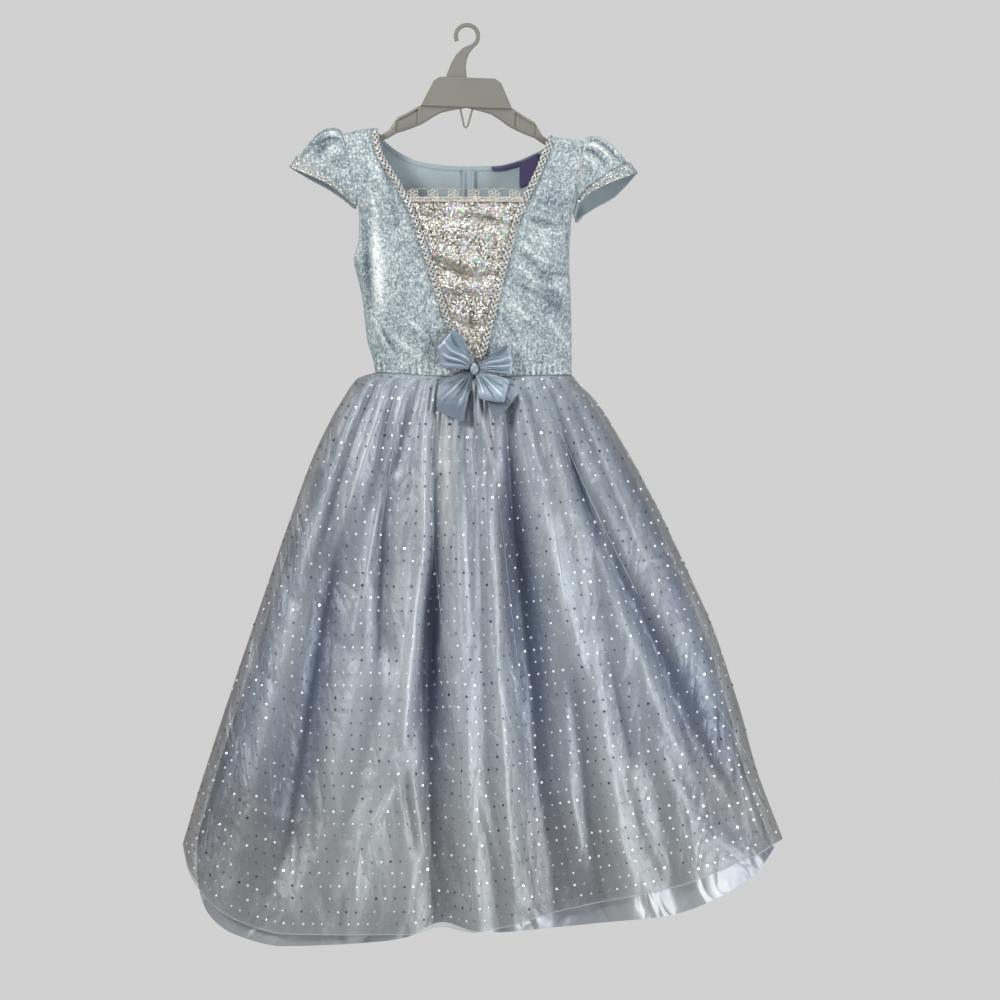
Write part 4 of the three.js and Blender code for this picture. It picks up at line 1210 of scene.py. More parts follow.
def metal_thread(name, colour, dark):
    material, tree, bsdf = finish_of(name)
    tone = tone_of(tree, 260.0, 1400.0, 0.5, 2.6)
    tree.links.new(ramp(tree, tone, (0.2, dark), (0.75, colour)), bsdf.inputs["Base Color"])
    set_plain(bsdf, Roughness=0.36, Metallic=0.55)
    relief(tree, bsdf, (tone, 0.5, 0.0003))
    return material


def woven_tape(name, colour, rough, sheen):
    material, tree, bsdf = finish_of(name)
    tone = tone_of(tree, 60.0, 500.0, 0.4, 1.0)
    tree.links.new(
        ramp(tree, tone, (0.2, darker(colour, 0.76)), (0.8, colour)), bsdf.inputs["Base Color"],
    )
    set_plain(bsdf, Roughness=rough, Sheen_Weight=sheen)
    relief(tree, bsdf, (weave_of(tree, 1300.0, 1300.0), 0.5, 0.0004))
    return material


def moulded_plastic():
    material, tree, bsdf = finish_of("moulded_plastic")
    tone = tone_of(tree, 18.0, 900.0, 0.45, 1.3)
    colour = ramp(tree, tone, (0.2, darker(PLASTIC_GREY, 0.86)), (0.8, PLASTIC_GREY))
    tree.links.new(colour, bsdf.inputs["Base Color"])
    tree.links.new(between(tree, tone, 0.5, 0.38), bsdf.inputs["Roughness"])
    set_plain(bsdf, Specular_IOR_Level=0.45)
    relief(tree, bsdf, (tone, 0.18, 0.0004))
    return material


CRUSHED_VELVET = crushed_velvet()
VELVET_REVERSE = velvet_reverse()
SMOOTH_SATIN = smooth_satin()
SHEER_ORGANZA = sheer_organza()
RIBBON_SATIN = ribbon_satin()
SEQUIN_GROUND = sequin_ground()
SEQUIN_FOIL = sequin_foil()
DOT_FOIL = dot_foil()
GLITTER = glitter()
SILVER_THREAD = metal_thread("silver_thread", SILVER, srgb(138, 134, 124))
LACE_THREAD = metal_thread("lace_thread", LACE_WHITE, srgb(170, 164, 150))
# The plait's dark tape is painted shade for its gaps
PLAIT_SHADE_TAPE = woven_tape("plait_painted_shade", PLAIT_SHADE_DARK, 0.6, 0.1)
GLITTER_TAPE = woven_tape("glitter_tape", srgb(166, 178, 182), 0.5, 0.3)
ORGANZA_EDGE = woven_tape("organza_edge", srgb(178, 183, 187), 0.4, 0.3)
CLOSURE_TAPE = woven_tape("closure_tape", srgb(168, 184, 192), 0.7, 0.2)
LABEL_SATIN = woven_tape("label_satin", LABEL_PURPLE, 0.5, 0.3)
SEWING_THREAD = woven_tape("sewing_thread", THREAD_BLUE, 0.6, 0.2)
MOULDED_PLASTIC = moulded_plastic()

# Repeats on points and along lines


def repeat_tree(name, inputs):
    tree = bpy.data.node_groups.new(name, "GeometryNodeTree")
    tree.interface.new_socket("Geometry", in_out="INPUT", socket_type="NodeSocketGeometry")
    for socket, kind in inputs.items():
        tree.interface.new_socket(socket, in_out="INPUT", socket_type=kind)
    tree.interface.new_socket("Geometry", in_out="OUTPUT", socket_type="NodeSocketGeometry")
    return tree, tree.nodes.new("NodeGroupInput").outputs, tree.nodes.new("NodeGroupOutput").inputs


def finished(tree, geometry, material, result):
    plain = node(tree, "GeometryNodeRealizeInstances", {"Geometry": geometry})
    coloured = node(
        tree, "GeometryNodeSetMaterial", {"Geometry": plain.outputs[0], "Material": material},
    )
    tree.links.new(coloured.outputs[0], result["Geometry"])


def facing_rotation(tree):
    facing = node(
        tree, "GeometryNodeInputNamedAttribute", {"Name": "facing"}, data_type="FLOAT_VECTOR",
    )
    return node(
        tree, "FunctionNodeAlignRotationToVector", {"Vector": facing.outputs["Attribute"]},
        axis="Z",
    ).outputs[0]


def spangle_tree():
    """A cupped disc, open or closed in the middle, on each point, facing out and tilted a little
    each its own way."""
    tree, given, result = repeat_tree(
        "spangles",
        {
            "Radius": "NodeSocketFloat",
            "Hole": "NodeSocketFloat",
            "Cup": "NodeSocketFloat",
            "Sides": "NodeSocketInt",
            "Tilt": "NodeSocketFloat",
            "Unevenness": "NodeSocketFloat",
            "Seed": "NodeSocketInt",
            "Material": "NodeSocketMaterial",
        },
    )
    disc = node(
        tree,
        "GeometryNodeMeshCone",
        {
            "Vertices": given["Sides"], "Radius Top": given["Hole"],
            "Radius Bottom": given["Radius"], "Depth": given["Cup"],
        },
        fill_type="NONE",
    )
    lean = node(tree, "ShaderNodeCombineXYZ", {"X": given["Tilt"], "Y": given["Tilt"], "Z": 3.1})
    back = node(
        tree, "ShaderNodeVectorMath", {0: lean.outputs[0], "Scale": -1.0}, operation="SCALE",
    )
    turn = node(
        tree, "FunctionNodeRandomValue",
        {0: back.outputs[0], 1: lean.outputs[0], "Seed": given["Seed"]}, data_type="FLOAT_VECTOR",
    )
    turned = node(tree, "FunctionNodeEulerToRotation", {"Euler": turn.outputs[0]})
    rotation = node(
        tree, "FunctionNodeRotateRotation", {0: facing_rotation(tree), 1: turned.outputs[0]},
        rotation_space="LOCAL",
    )
    smallest = node(tree, "ShaderNodeMath", {0: 1.0, 1: given["Unevenness"]}, operation="SUBTRACT")
    largest = node(tree, "ShaderNodeMath", {0: 1.0, 1: given["Unevenness"]}, operation="ADD")
    next_seed = node(tree, "ShaderNodeMath", {0: given["Seed"], 1: 1.0}, operation="ADD")
    size = node(
        tree, "FunctionNodeRandomValue",
        {2: smallest.outputs[0], 3: largest.outputs[0], "Seed": next_seed.outputs[0]},
        data_type="FLOAT",
    )
    placed = node(
        tree,
        "GeometryNodeInstanceOnPoints",
        {
            "Points": given["Geometry"], "Instance": disc.outputs["Mesh"],
            "Rotation": rotation.outputs[0], "Scale": size.outputs[1],
        },
    )
    # A random value for each disc, from which the finish picks its painted reflection and its
    # rainbow hue
    third_seed = node(tree, "ShaderNodeMath", {0: given["Seed"], 1: 2.0}, operation="ADD")
    painted_glint_and_hue = node(
        tree, "FunctionNodeRandomValue", {2: 0.0, 3: 1.0, "Seed": third_seed.outputs[0]},
        data_type="FLOAT",
    )
    kept = node(
        tree,
        "GeometryNodeStoreNamedAttribute",
        {"Geometry": placed.outputs[0], "Name": "painted_glint_and_hue", "Value": painted_glint_and_hue.outputs[1]},
        data_type="FLOAT",
        domain="INSTANCE",
    )
    finished(tree, kept.outputs[0], given["Material"], result)
    return tree


def strand_tree():
    """A round thread along each line of the layout."""
    tree, given, result = repeat_tree(
        "strands",
        {"Radius": "NodeSocketFloat", "Sides": "NodeSocketInt", "Material": "NodeSocketMaterial"},
    )
    lines = node(tree, "GeometryNodeMeshToCurve", {"Mesh": given["Geometry"]})
    section = node(
        tree, "GeometryNodeCurvePrimitiveCircle",
        {"Resolution": given["Sides"], "Radius": given["Radius"]}, mode="RADIUS",
    )
    thread = node(
        tree, "GeometryNodeCurveToMesh",
        {"Curve": lines.outputs[0], "Profile Curve": section.outputs[0], "Fill Caps": True},
    )
    smooth = node(tree, "GeometryNodeSetShadeSmooth", {0: thread.outputs[0]})
    finished(tree, smooth.outputs[0], given["Material"], result)
    return tree


def stitch_tree():
    """A short rounded stitch on each point, lying along the seam."""
    tree, given, result = repeat_tree(
        "stitches",
        {
            "Length": "NodeSocketFloat", "Thickness": "NodeSocketFloat",
            "Material": "NodeSocketMaterial",
        },
    )
    bead = node(tree, "GeometryNodeMeshIcoSphere", {"Radius": 0.5, "Subdivisions": 2})
    size = node(
        tree, "ShaderNodeCombineXYZ",
        {"X": given["Length"], "Y": given["Thickness"], "Z": given["Thickness"]},
    )
    along = node(
        tree, "GeometryNodeInputNamedAttribute", {"Name": "along"}, data_type="FLOAT_VECTOR",
    )
    rotation = node(
        tree, "FunctionNodeAlignRotationToVector", {"Vector": along.outputs["Attribute"]}, axis="X",
    )
    placed = node(
        tree,
        "GeometryNodeInstanceOnPoints",
        {
            "Points": given["Geometry"], "Instance": bead.outputs[0],
            "Rotation": rotation.outputs[0], "Scale": size.outputs[0],
        },
    )
    finished(tree, placed.outputs[0], given["Material"], result)
    return tree


SPANGLES = spangle_tree()
STRANDS = strand_tree()
STITCHES = stitch_tree()


def grown(name, tree, points, inputs, edges=(), **vectors):
    """Runs a repeat tree on a layout of points, and keeps what it makes as a plain mesh."""
    layout = bpy.data.meshes.new(name + "_layout")
    layout.from_pydata((np.asarray(points) * MM).tolist(), [list(map(int, e)) for e in edges], [])
    for key, values in vectors.items():
        layout.attributes.new(key, "FLOAT_VECTOR", "POINT").data.foreach_set(
            "vector", np.asarray(values, np.float32).ravel(),
        )
    holder = shown_object(name + "_layout", layout)
    repeat = holder.modifiers.new("repeat", "NODES")
    repeat.node_group = tree
    for socket in tree.interface.items_tree:
        if socket.in_out == "INPUT" and socket.name in inputs:
            repeat[socket.identifier] = inputs[socket.name]
    ready = holder.evaluated_get(bpy.context.evaluated_depsgraph_get())
    mesh = bpy.data.meshes.new_from_object(ready)
    holder.modifiers.remove(repeat)
    bpy.data.objects.remove(holder)
    bpy.data.meshes.remove(layout)
    mesh.name = name
    return shown_object(name, mesh)


def spangles_on(name, points, facing, material, radius, hole, cup, sides, tilt, unevenness, seed):
    sizes = {"Radius": radius * MM, "Hole": hole * MM, "Cup": cup * MM, "Sides": sides}
    chance = {"Tilt": tilt, "Unevenness": unevenness, "Seed": seed}
    return grown(name, SPANGLES, points, {**sizes, **chance, "Material": material}, facing=facing)


def strands(name, lines, radius, material, sides=6):
    points, edges, start = [], [], 0
    for line, closed in lines:
        count = len(line)
        points.append(line)
        edges += [(start + i, start + i + 1) for i in range(count - 1)]
        if closed:
            edges.append((start + count - 1, start))
        start += count
    return grown(
        name, STRANDS, np.concatenate(points),
        {"Radius": radius * MM, "Sides": sides, "Material": material}, edges,
    )


def rows_along(line, step, offset=0.0):
    """Places at an even step along a line of points: positions in its own index, and the points
    there."""
    reach = np.concatenate([[0], np.cumsum(np.linalg.norm(np.diff(line, axis=0), axis=1))])
    places = np.arange(offset, reach[-1], step)
    at = np.interp(places, reach, np.arange(len(line)))
    return at, np.stack([np.interp(places, reach, line[:, k]) for k in range(3)], -1)


def nearest_of(places):
    tree = KDTree(len(places))
    for index, place in enumerate(places.tolist()):
        tree.insert(place, index)
    tree.balance()
    return tree


def mark_painted_fold_light(piece, grid, heights, kept=(1, 1, 1)):
    """Gives each point of a cloth how far it lies on a ridge, 1, or in a valley, 0, from the
    nearest grid point. The finishes paint light on the ridges and shade in the valleys from this
    value."""
    nearest = nearest_of(grid.reshape(-1, 3))
    values = (0.5 + np.broadcast_to(heights, grid.shape[:2])).clip(0, 1).ravel()
    found = [values[nearest.find(at)[1]] for at in (points_of(piece.data) * kept).tolist()]
    piece.data.attributes.new("ridge", "FLOAT", "POINT").data.foreach_set("value", found)
    return piece


# Bodice


def bodice_creases(face, x, z):
    """The height of the velvet's creases and of the puckers above the waist seam."""
    crease = creased(-AWAY[face] * x, z, CREASES) + creased(-AWAY[face] * x, z, SHORT_CREASES)
    above = clamp01(1 - (z - waist_line(x)) / WAIST_PUCKERS["reach"])
    strength = 0.6 + 0.4 * np.sin(x / 11)
    pucker = np.cos(WAIST_PUCKERS["count"] * x / 38 + 2 * np.sin(x / 17)) * strength
    return crease, WAIST_PUCKERS["height"] * pucker * above**2


def bodice_depth(face, x, z):
    left, right, edge = bodice["left"](z), bodice["right"](z), bodice["edge"](z)
    across = clamp01(np.abs((2 * x - left - right) / (right - left)))
    turn = np.arccos(np.minimum(1, across ** (1 / CORNER)))
    flatness = lerp(0.8, 1.8, clamp01(edge / 12))
    depth = edge + (bodice[face](z) - edge) * np.sin(turn) ** flatness
    crease, pucker = bodice_creases(face, x, z)
    if face == "back":
        away = z - back_neck(x) + NECK_FOLD["below"]
        crease = crease + NECK_FOLD["groove"] * bump(away, NECK_FOLD["half"])
    below = clamp01((shoulder_line(x) - SHOULDER_FALL - z) / SHOULDER_RADIUS)
    room = ease((depth - edge) / 6)
    low = ease((z - waist_line(x)) / 30)
    stand = crease * room * low + pucker * room
    return (depth + stand) * np.sqrt(1 - (1 - below) ** 2)


def surface(face, x, z, out=0.0):
    return stack(x, AWAY[face] * (bodice_depth(face, x, z) + out), z)


def centre_back(z):
    return lerp(
        CENTRE_BACK["top"], CENTRE_BACK["bottom"],
        clamp01((CENTRE_BACK["from"] - z) / CENTRE_BACK["drop"]),
    )


def inner_edge(face, side, z):
    if face == "back":
        return centre_back(z) + side * SEAM_GAP / 2
    return front_edge["left" if side < 0 else "right"](z) - side * EDGE_LAP


def is_neck(face, x):
    return (face == "back") & (x > NECK["left"]) & (x < NECK["right"])


def bodice_panel(face, side, bend_rows=10, rows=112, columns=84):
    def place(c, z):
        left, right = bodice["left"](z), bodice["right"](z)
        middle, half = (left + right) / 2, (right - left) / 2
        across = (inner_edge(face, side, z) - middle) / half
        end = np.arcsin(np.sign(across) * np.abs(across) ** (1 / CORNER))
        turn = lerp(side * np.pi / 2, end, c)
        return middle + half * np.sign(turn) * np.abs(np.sin(turn)) ** CORNER

    def top(x):
        return np.where(is_neck(face, x), back_neck(x), shoulder_line(x) - SHOULDER_FALL)

    c = np.linspace(0, 1, columns)
    x0 = place(c, np.full(columns, -140.0))
    start = top(place(c, top(x0)))
    bends = np.concatenate([np.linspace(0, 1, bend_rows, endpoint=False), np.ones(rows)])
    downs = np.concatenate([np.zeros(bend_rows), np.linspace(0, 1, rows)])
    z = lerp(
        start[None] - SHOULDER_RADIUS * (1 - np.cos(bends[:, None] * np.pi / 2)),
        waist_line(x0)[None] + SEAM_GAP / 2,
        downs[:, None],
    )
    grid = surface(face, place(c[None], z), z)
    away = AWAY[face]
    normals = grid_normals(grid)
    outside = 1 if np.mean(normals[..., 1]) * away > 0 else -1
    shoulder = ~is_neck(face, grid[0, :, 0])

    def pin(layer):
        held = np.zeros(layer.shape[:2], bool)
        held[0] |= shoulder
        held[:, 0] |= bodice["edge"](layer[:, 0, 2]) < 0.4
        held |= away * layer[..., 1] < SEAM_GAP / 2
        layer[..., 1] = np.where(held, away * SEAM_GAP / 2, layer[..., 1])
        layer[:, -1, 0] = inner_edge(face, side, layer[:, -1, 2])
        layer[-1, :, 2] = waist_line(layer[-1, :, 0]) + SEAM_GAP / 2

    fold = None
    if face == "back":
        drop = np.where(is_neck(face, grid[..., 0]), back_neck(grid[..., 0]) - grid[..., 2], 99)
        fold = 0.55 * ease((6.4 - drop) / 1.2) * is_neck(face, grid[0, :, 0])[None]
    name = f"velvet_{face}_{'left' if side < 0 else 'right'}"
    panel = cloth_shell(name, grid, VELVET, [CRUSHED_VELVET, VELVET_REVERSE], outside, pin, fold)
    crease, pucker = bodice_creases(face, grid[..., 0], grid[..., 2])
    # The velvet's painted light and shade follow its creases and waist puckers
    return mark_painted_fold_light(panel, grid, (crease + 2 * pucker) / BODICE_PAINTED_SHADE_SPAN)


def inset_sides(z):
    left, right = front_edge["left"](z), front_edge["right"](z)
    return left + EDGE_LAP + INSET_GAP, right - EDGE_LAP - INSET_GAP


def inset_grid(rows, columns, out=0.0):
    r, c = np.linspace(0, 1, rows)[:, None], np.linspace(0, 1, columns)[None]
    middle_z = lerp(INSET_TOP, waist_line(0.0) + SEAM_GAP / 2, r)
    left, right = inset_sides(middle_z)
    sag = 1 - (2 * c - 1) ** 2
    swag = 0.0
    for z, drop, half, stand in rows_of(SWAGS, "z drop half out"):
        away = middle_z - z + drop * (sag - 1)
        swag = swag + stand * bump(away, half) * (0.35 + 0.65 * sag)
    x, z = lerp(left, right, c), middle_z + 0 * c
    stand = (swag + creased(x, z, INSET_CREASES)) * ease(r * 8) * ease((1 - r) * 8)
    return surface("front", x, z, stand + out)


def sequin_cloth():
    def pin(layer):
        left, right = inset_sides(layer[..., 2])
        layer[:, 0, 0], layer[:, -1, 0] = left[:, 0], right[:, -1]

    return cloth_shell("sequin_cloth", inset_grid(96, 48), SEQUIN_CLOTH, [SEQUIN_GROUND], -1, pin)


def sequins():
    grid = inset_grid(320, 110, SEQUIN["out"])
    normals = -grid_normals(grid)
    normals *= np.sign(-normals[..., 1:2])
    points, facing = [], []
    reach = np.cumsum(np.linalg.norm(np.diff(grid[:, 55], axis=0), axis=1))
    for row, place in enumerate(np.arange(1.0, reach[-1] - 1, SEQUIN["down"])):
        j = int(np.searchsorted(reach, place))
        at, found = rows_along(grid[j], SEQUIN["across"], 1.4 + (row % 2) * SEQUIN["across"] / 2)
        if len(at):
            points.append(found)
            facing.append(normals[j][np.round(at).astype(int)])
    points, facing = np.concatenate(points), np.concatenate(facing)
    return spangles_on(
        "sequins", points, facing, SEQUIN_FOIL, SEQUIN["radius"], 0.3, 0.25, 8, 0.34, 0.06, 11,
    )


def plait(side):
    """Three pairs of silver threads plaited over a dark core, along one edge of the front
    opening. The dark core is painted shade, standing in for the shadow in the plait's gaps."""
    name = "left" if side < 0 else "right"
    start = shoulder_line(front_edge[name](PLAIT["from"])) - SHOULDER_FALL - SHOULDER_RADIUS * 0.4
    z = np.linspace(start, PLAIT["bottom"], 420)
    x = front_edge[name](z)
    middle = surface("front", x, z, PLAIT["out"])
    along = np.gradient(middle, axis=0)
    along /= np.linalg.norm(along, axis=1, keepdims=True)
    outward = np.array([0, -1.0, 0])
    across = np.cross(along, outward)
    across /= np.linalg.norm(across, axis=1, keepdims=True)
    lift = np.cross(across, along)
    lift *= np.sign(-lift[:, 1:2])
    reach = np.concatenate([[0], np.cumsum(np.linalg.norm(np.diff(middle, axis=0), axis=1))])
    lines = []
    for strand in range(3):
        phase = 2 * np.pi * (reach / PLAIT["period"] + strand / 3)
        for pair in (-1, 1):
            aside = PLAIT["half"] * np.sin(phase) + pair * PLAIT["thread"]
            rise = PLAIT["rise"] * np.cos(2 * phase) + 0.4
            lines.append((middle + across * aside[:, None] + lift * rise[:, None], False))
    threads = strands(f"plait_{name}", lines, PLAIT["thread"], SILVER_THREAD, 5)
    # Painted shade: a dark tape under the threads stands in for the shadow in the plait's gaps
    ribs = np.linspace(-0.5, 0.5, 5) * PLAIT["painted_shade_tape"]
    painted_shade_grid = middle[::3, None] + across[::3, None] * ribs[None, :, None] - lift[::3, None] * 0.6
    painted_shade_tape = cloth_shell(f"plait_painted_shade_{name}", painted_shade_grid, 0.6, [PLAIT_SHADE_TAPE], 1)
    return threads, painted_shade_tape


def lace_edge():
    out = LACE["out"]
    centres = FLOWER["first"] + FLOWER["pitch"] * np.arange(FLOWER["count"])
    lines, arcs = [], []

    def on_front(x, z, lift=0.0):
        return surface("front", np.asarray(x, float), np.asarray(z, float), out + lift)

    turn = np.linspace(0, 2 * np.pi, 12, endpoint=False)
    for centre in centres:
        for petal in range(FLOWER["petals"]):
            angle = 2 * np.pi * petal / FLOWER["petals"]
            px = centre + FLOWER["reach"] * math.sin(angle)
            pz = FLOWER["z"] + FLOWER["reach"] * math.cos(angle)
            lines.append((
                on_front(
                    px + FLOWER["loop"] * np.cos(turn), pz + FLOWER["loop"] * np.sin(turn), 0.3,
                ),
                True,
            ))
        lines.append((
            on_front(centre + 1.5 * np.cos(turn), FLOWER["z"] + 1.5 * np.sin(turn), 0.8), True,
        ))
    for x in centres[1:]:
        t = np.linspace(0, 1, 14)
        arcs.append((
            on_front(
                x - FLOWER["pitch"] * (1 - t), LACE["arc_z"] + LACE["rise"] * np.sin(np.pi * t),
            ),
            False,
        ))
    left = front_edge["left"](LACE["top"]) + EDGE_LAP + 1
    right = front_edge["right"](LACE["top"]) - EDGE_LAP - 1
    for z, lift in ((LACE["top"], 0.5), (LACE["top"] - 3.2, 0.2), (LACE["bottom"] + 1.6, 0.2)):
        x = np.linspace(left, right, 260)
        lines.append((on_front(x, z + 1.3 * np.sin(x * 1.9), lift), False))
        lines.append((on_front(x, z - 1.3 * np.sin(x * 1.9), lift + 0.3), False))
    fine = strands("lace_arcs", arcs, LACE["arc"], LACE_THREAD, 5)
    return strands("lace_edge", lines, LACE["thread"], LACE_THREAD, 5), fine


# Sleeves


def sleeve_point(name, a, s, out=0.0, with_folds=False):
    sleeve = SLEEVES[name]
    a, s = np.broadcast_arrays(np.asarray(a, float), np.asarray(s, float))
    front = a < 0.5
    away = np.where(front, -1, 1)
    around = np.abs(2 * a - 1)
    t = around**1.6
    end = np.where(front, sleeve["end"]["front"], sleeve["end"]["back"])
    arm_z = lerp(sleeve["top"], end, t)
    arm_x = bodice[name](arm_z) + sleeve["side"] * SLEEVE_OFF_BODICE
    deep = np.sqrt(1 - (1 - np.minimum(1, around / 0.6)) ** 2)
    armhole = stack(arm_x, away * bodice["edge"](arm_z) * deep, arm_z)
    hem_x = np.where(front, curve(sleeve["front"], "t", "x")(t), curve(sleeve["back"], "t", "x")(t))
    hem_z = np.where(front, curve(sleeve["front"], "t", "z")(t), curve(sleeve["back"], "t", "z")(t))
    end_edge = bodice["edge"](end)
    mouth = lerp(end_edge, sleeve["spread"], np.sin(np.pi * np.minimum(1, around) ** 0.9))
    hem_y = away * lerp(mouth * deep, end_edge, ease((around - 0.7) / 0.3))
    sleeve_hem = stack(hem_x, hem_y, hem_z)
    belly = np.sin(np.pi * clamp01(s) ** 0.8)
    swell = belly * (1 - t) ** 0.5
    open_end = (1 - t) * ease(s * 6)
    gather = np.cos(2 * np.pi * SLEEVE_GATHERS * a) * SLEEVE_GATHER_HEIGHT * (1 - s) * open_end
    fine = SLEEVE_FINE["height"] * np.cos(2 * np.pi * SLEEVE_FINE["count"] * a + 3 * np.sin(9 * a))
    fine = fine * (1 - s) ** 2 * open_end
    dent = sleeve["dent"] * bump(s - DENT["down"], DENT["tall"]) * bump(
        a - DENT["round"], DENT["wide"],
    )
    folds = creased(
        a, s, SLEEVE_CREASES[name], "a0 s0 a1 s1",
    ) * (1 - t) * ease(s * 6) * ease((1 - s) * 5)
    p = armhole + (sleeve_hem - armhole) * s[..., None]
    p[..., 2] += sleeve["puff"] * swell * np.cos(around * np.pi / 2)
    swollen = sleeve["spread"] * 0.5 * swell * np.sin(around * np.pi / 2)
    p[..., 1] += away * (swollen + gather + fine + folds + out - dent)
    return (p, gather + fine + folds - dent / 2) if with_folds else p


def sleeve_cloth(name):
    a, s = np.linspace(0, 1, 150)[None], np.linspace(0, 1, 40)[:, None]
    grid, folds = sleeve_point(name, a, s, with_folds=True)
    materials, outside = [CRUSHED_VELVET, VELVET_REVERSE], -SLEEVES[name]["side"]
    cap = cloth_shell(f"sleeve_cloth_{name}", grid, VELVET, materials, outside)
    # The sleeve's painted light and shade follow its pleats, gathers and dent
    return mark_painted_fold_light(cap, grid, folds / SLEEVE_PAINTED_SHADE_SPAN)


def sleeve_band_grid(name, rows, columns, out):
    a = np.linspace(0, 1, columns)[None]
    grid = sleeve_point(name, a, np.linspace(SLEEVE_TRIM_FROM, SLEEVE_TRIM_TO, rows)[:, None])
    normals = grid_normals(grid) * -SLEEVES[name]["side"]
    return grid + normals * out, normals


def sleeve_band(name):
    """The glitter tape along a sleeve's hem, with its loose sparkle."""
    grid, _ = sleeve_band_grid(name, 8, 120, SLEEVE_TRIM_OUT)
    band = cloth_shell(f"glitter_band_{name}", grid, TAPE, [GLITTER_TAPE], -SLEEVES[name]["side"])
    out = SLEEVE_TRIM_OUT + TAPE / 2 + FLECKS["out"]
    raised, normals = sleeve_band_grid(name, FLECKS["rows"], FLECKS["columns"], out)
    rng = np.random.default_rng(FLECKS[name])
    rows = rng.uniform(0, FLECKS["rows"] - 1.01, FLECKS["count"])
    columns = rng.uniform(0, FLECKS["columns"] - 1.01, FLECKS["count"])
    j, i = rows.astype(int), columns.astype(int)
    fr, fc = (rows - j)[:, None], (columns - i)[:, None]
    points = raised[j, i] * (1 - fr) * (1 - fc) + raised[j + 1, i] * fr * (1 - fc)
    points += raised[j, i + 1] * (1 - fr) * fc + raised[j + 1, i + 1] * fr * fc
    flecks = spangles_on(
        f"glitter_flecks_{name}", points, normals[j, i], GLITTER, 0.75, 0.05, 0.12, 5, 0.6, 0.35,
        21,
    )
    return band, flecks


# Skirt


def skirt_point(layer, face, u, down, with_folds=False):
    u, down = np.broadcast_arrays(np.asarray(u, float), np.asarray(down, float))
    w = down * lengths[layer](u)
    middle, half = (WAIST["left"] + WAIST["right"]) / 2, (WAIST["right"] - WAIST["left"]) / 2
    top = middle + half * (0.55 * u + 0.45 * np.sin(u * np.pi / 2))
    puff = np.where(u < 0, -spread["left"](w), spread["right"](w))
    inside = 1 if layer == "satin" else 0
    x = lerp(
        top, hem["x"](u), w,
    ) + puff * np.abs(u) ** 1.5 - inside * layer_gap["side"](w) * u * np.abs(u) ** 5
    z = lerp(waist_line(top) - SEAM_GAP / 2, hem["z"](u), w)
    around = np.maximum(0, 1 - np.abs(u) ** 2.4) ** 0.6
    folds = np.zeros(u.shape)
    for u0, u1, w0, w1, wide, out in rows_of(FOLDS[face], "u0 u1 w0 w1 half out"):
        along = (w - w0) / (w1 - w0)
        fade = ease(along * 3) * ease((1.12 - along) * 5)
        deeper = VALLEY_DEPTH if out < 0 else 1
        folds += out * deeper * fade * bump(u - lerp(u0, u1, along), wide)
    gather = gather_height(w) * np.cos(np.pi * GATHERS[face] * u + GATHER_WANDER * np.sin(5 * u))
    uneven = 0.62 + 0.38 * np.sin(13 * u + 1.7 * np.sin(29 * u))
    fine_turn = np.pi * FINE_GATHERS[face] * u + 1.4 * np.sin(9 * u + 2 * w) + 0.9 * np.sin(23 * u)
    fine = fine_height(w) * uneven * np.cos(fine_turn)
    drift = 1.1 * np.sin(7 * u + 3.1 * w) + 0.7 * np.sin(17 * u - 2.3 * w)
    strength = 0.55 + 0.45 * np.sin(11 * u + 1.3)
    ripple = ripple_height(w) * strength * np.cos(np.pi * RIPPLES[face] * u + drift)
    narrow = creased(-AWAY[face] * x, z, SKIRT_CREASES[face])
    share = lerp(1, 0.75, inside)
    detail = (fine + ripple + narrow) * share * ease(w * 30)
    depth = spread[face](w) - inside * layer_gap["middle"](w)
    y = AWAY[face] * around * (depth + folds + gather + detail)
    placed = stack(x, y, z)
    return (placed, folds + 2 * narrow + gather) if with_folds else placed


def skirt_grid(layer, face, columns, rows):
    u = np.linspace(-1, 1, columns)[None]
    down = (np.linspace(0, 1, rows) ** 1.35)[:, None]
    grid = skirt_point(layer, face, u, down)
    away = AWAY[face]
    grid[:, [0, -1], 1] = away * SEAM_GAP / 2
    grid[0, :, 2] = waist_line(grid[0, :, 0]) - SEAM_GAP / 2
    return grid


def organza(face, columns, rows):
    grid = skirt_grid("organza", face, columns, rows)
    piece = sheer_sheet(f"organza_{face}", grid, SHEER_ORGANZA, AWAY[face])
    x, _, z = points_of(piece.data).T
    # Painted sheen and shade: the bunched streaks, and the organza greyer and denser along its side
    # seams
    streaks = creased(-AWAY[face] * x, z, BUNCH_SHEEN_AND_SHADE_STREAKS[face])
    level = np.argsort(grid[:, 0, 2])
    left, right = (np.interp(z, grid[level, side, 2], grid[level, side, 0]) for side in (0, -1))
    inward = np.minimum(np.abs(x - left), np.abs(x - right))
    values = np.maximum(streaks, SEAM_BUNCH_AND_SHADE["out"] * bump(inward, SEAM_BUNCH_AND_SHADE["half"]))
    piece.data.attributes.new("bunch_sheen_and_shade", "FLOAT", "POINT").data.foreach_set("value", values)
    return mark_painted_skirt_shade(piece, face)


def mark_painted_skirt_shade(piece, face):
    u = np.linspace(-1, 1, 260)[None]
    down = np.linspace(0, 1, 150)[:, None]
    grid, folds = skirt_point("organza", face, u, down, with_folds=True)
    # Painted shade: the skirt darker towards its side edges, with broad painted shade and light on
    # its lower part
    folds = folds - SIDE_PAINTED_SHADE * np.abs(u) ** 6
    for x, z, wide, tall, fall in rows_of(BROAD_PAINTED_SHADE_AND_LIGHT, "x z wide tall fall"):
        across, down = (grid[..., 0] - x) / wide, (grid[..., 2] - z) / tall
        folds = folds - fall * np.exp(-(across**2) - down**2)
    return mark_painted_fold_light(piece, grid * (1, 0, 1), folds / SKIRT_PAINTED_SHADE_SPAN, (1, 0, 1))


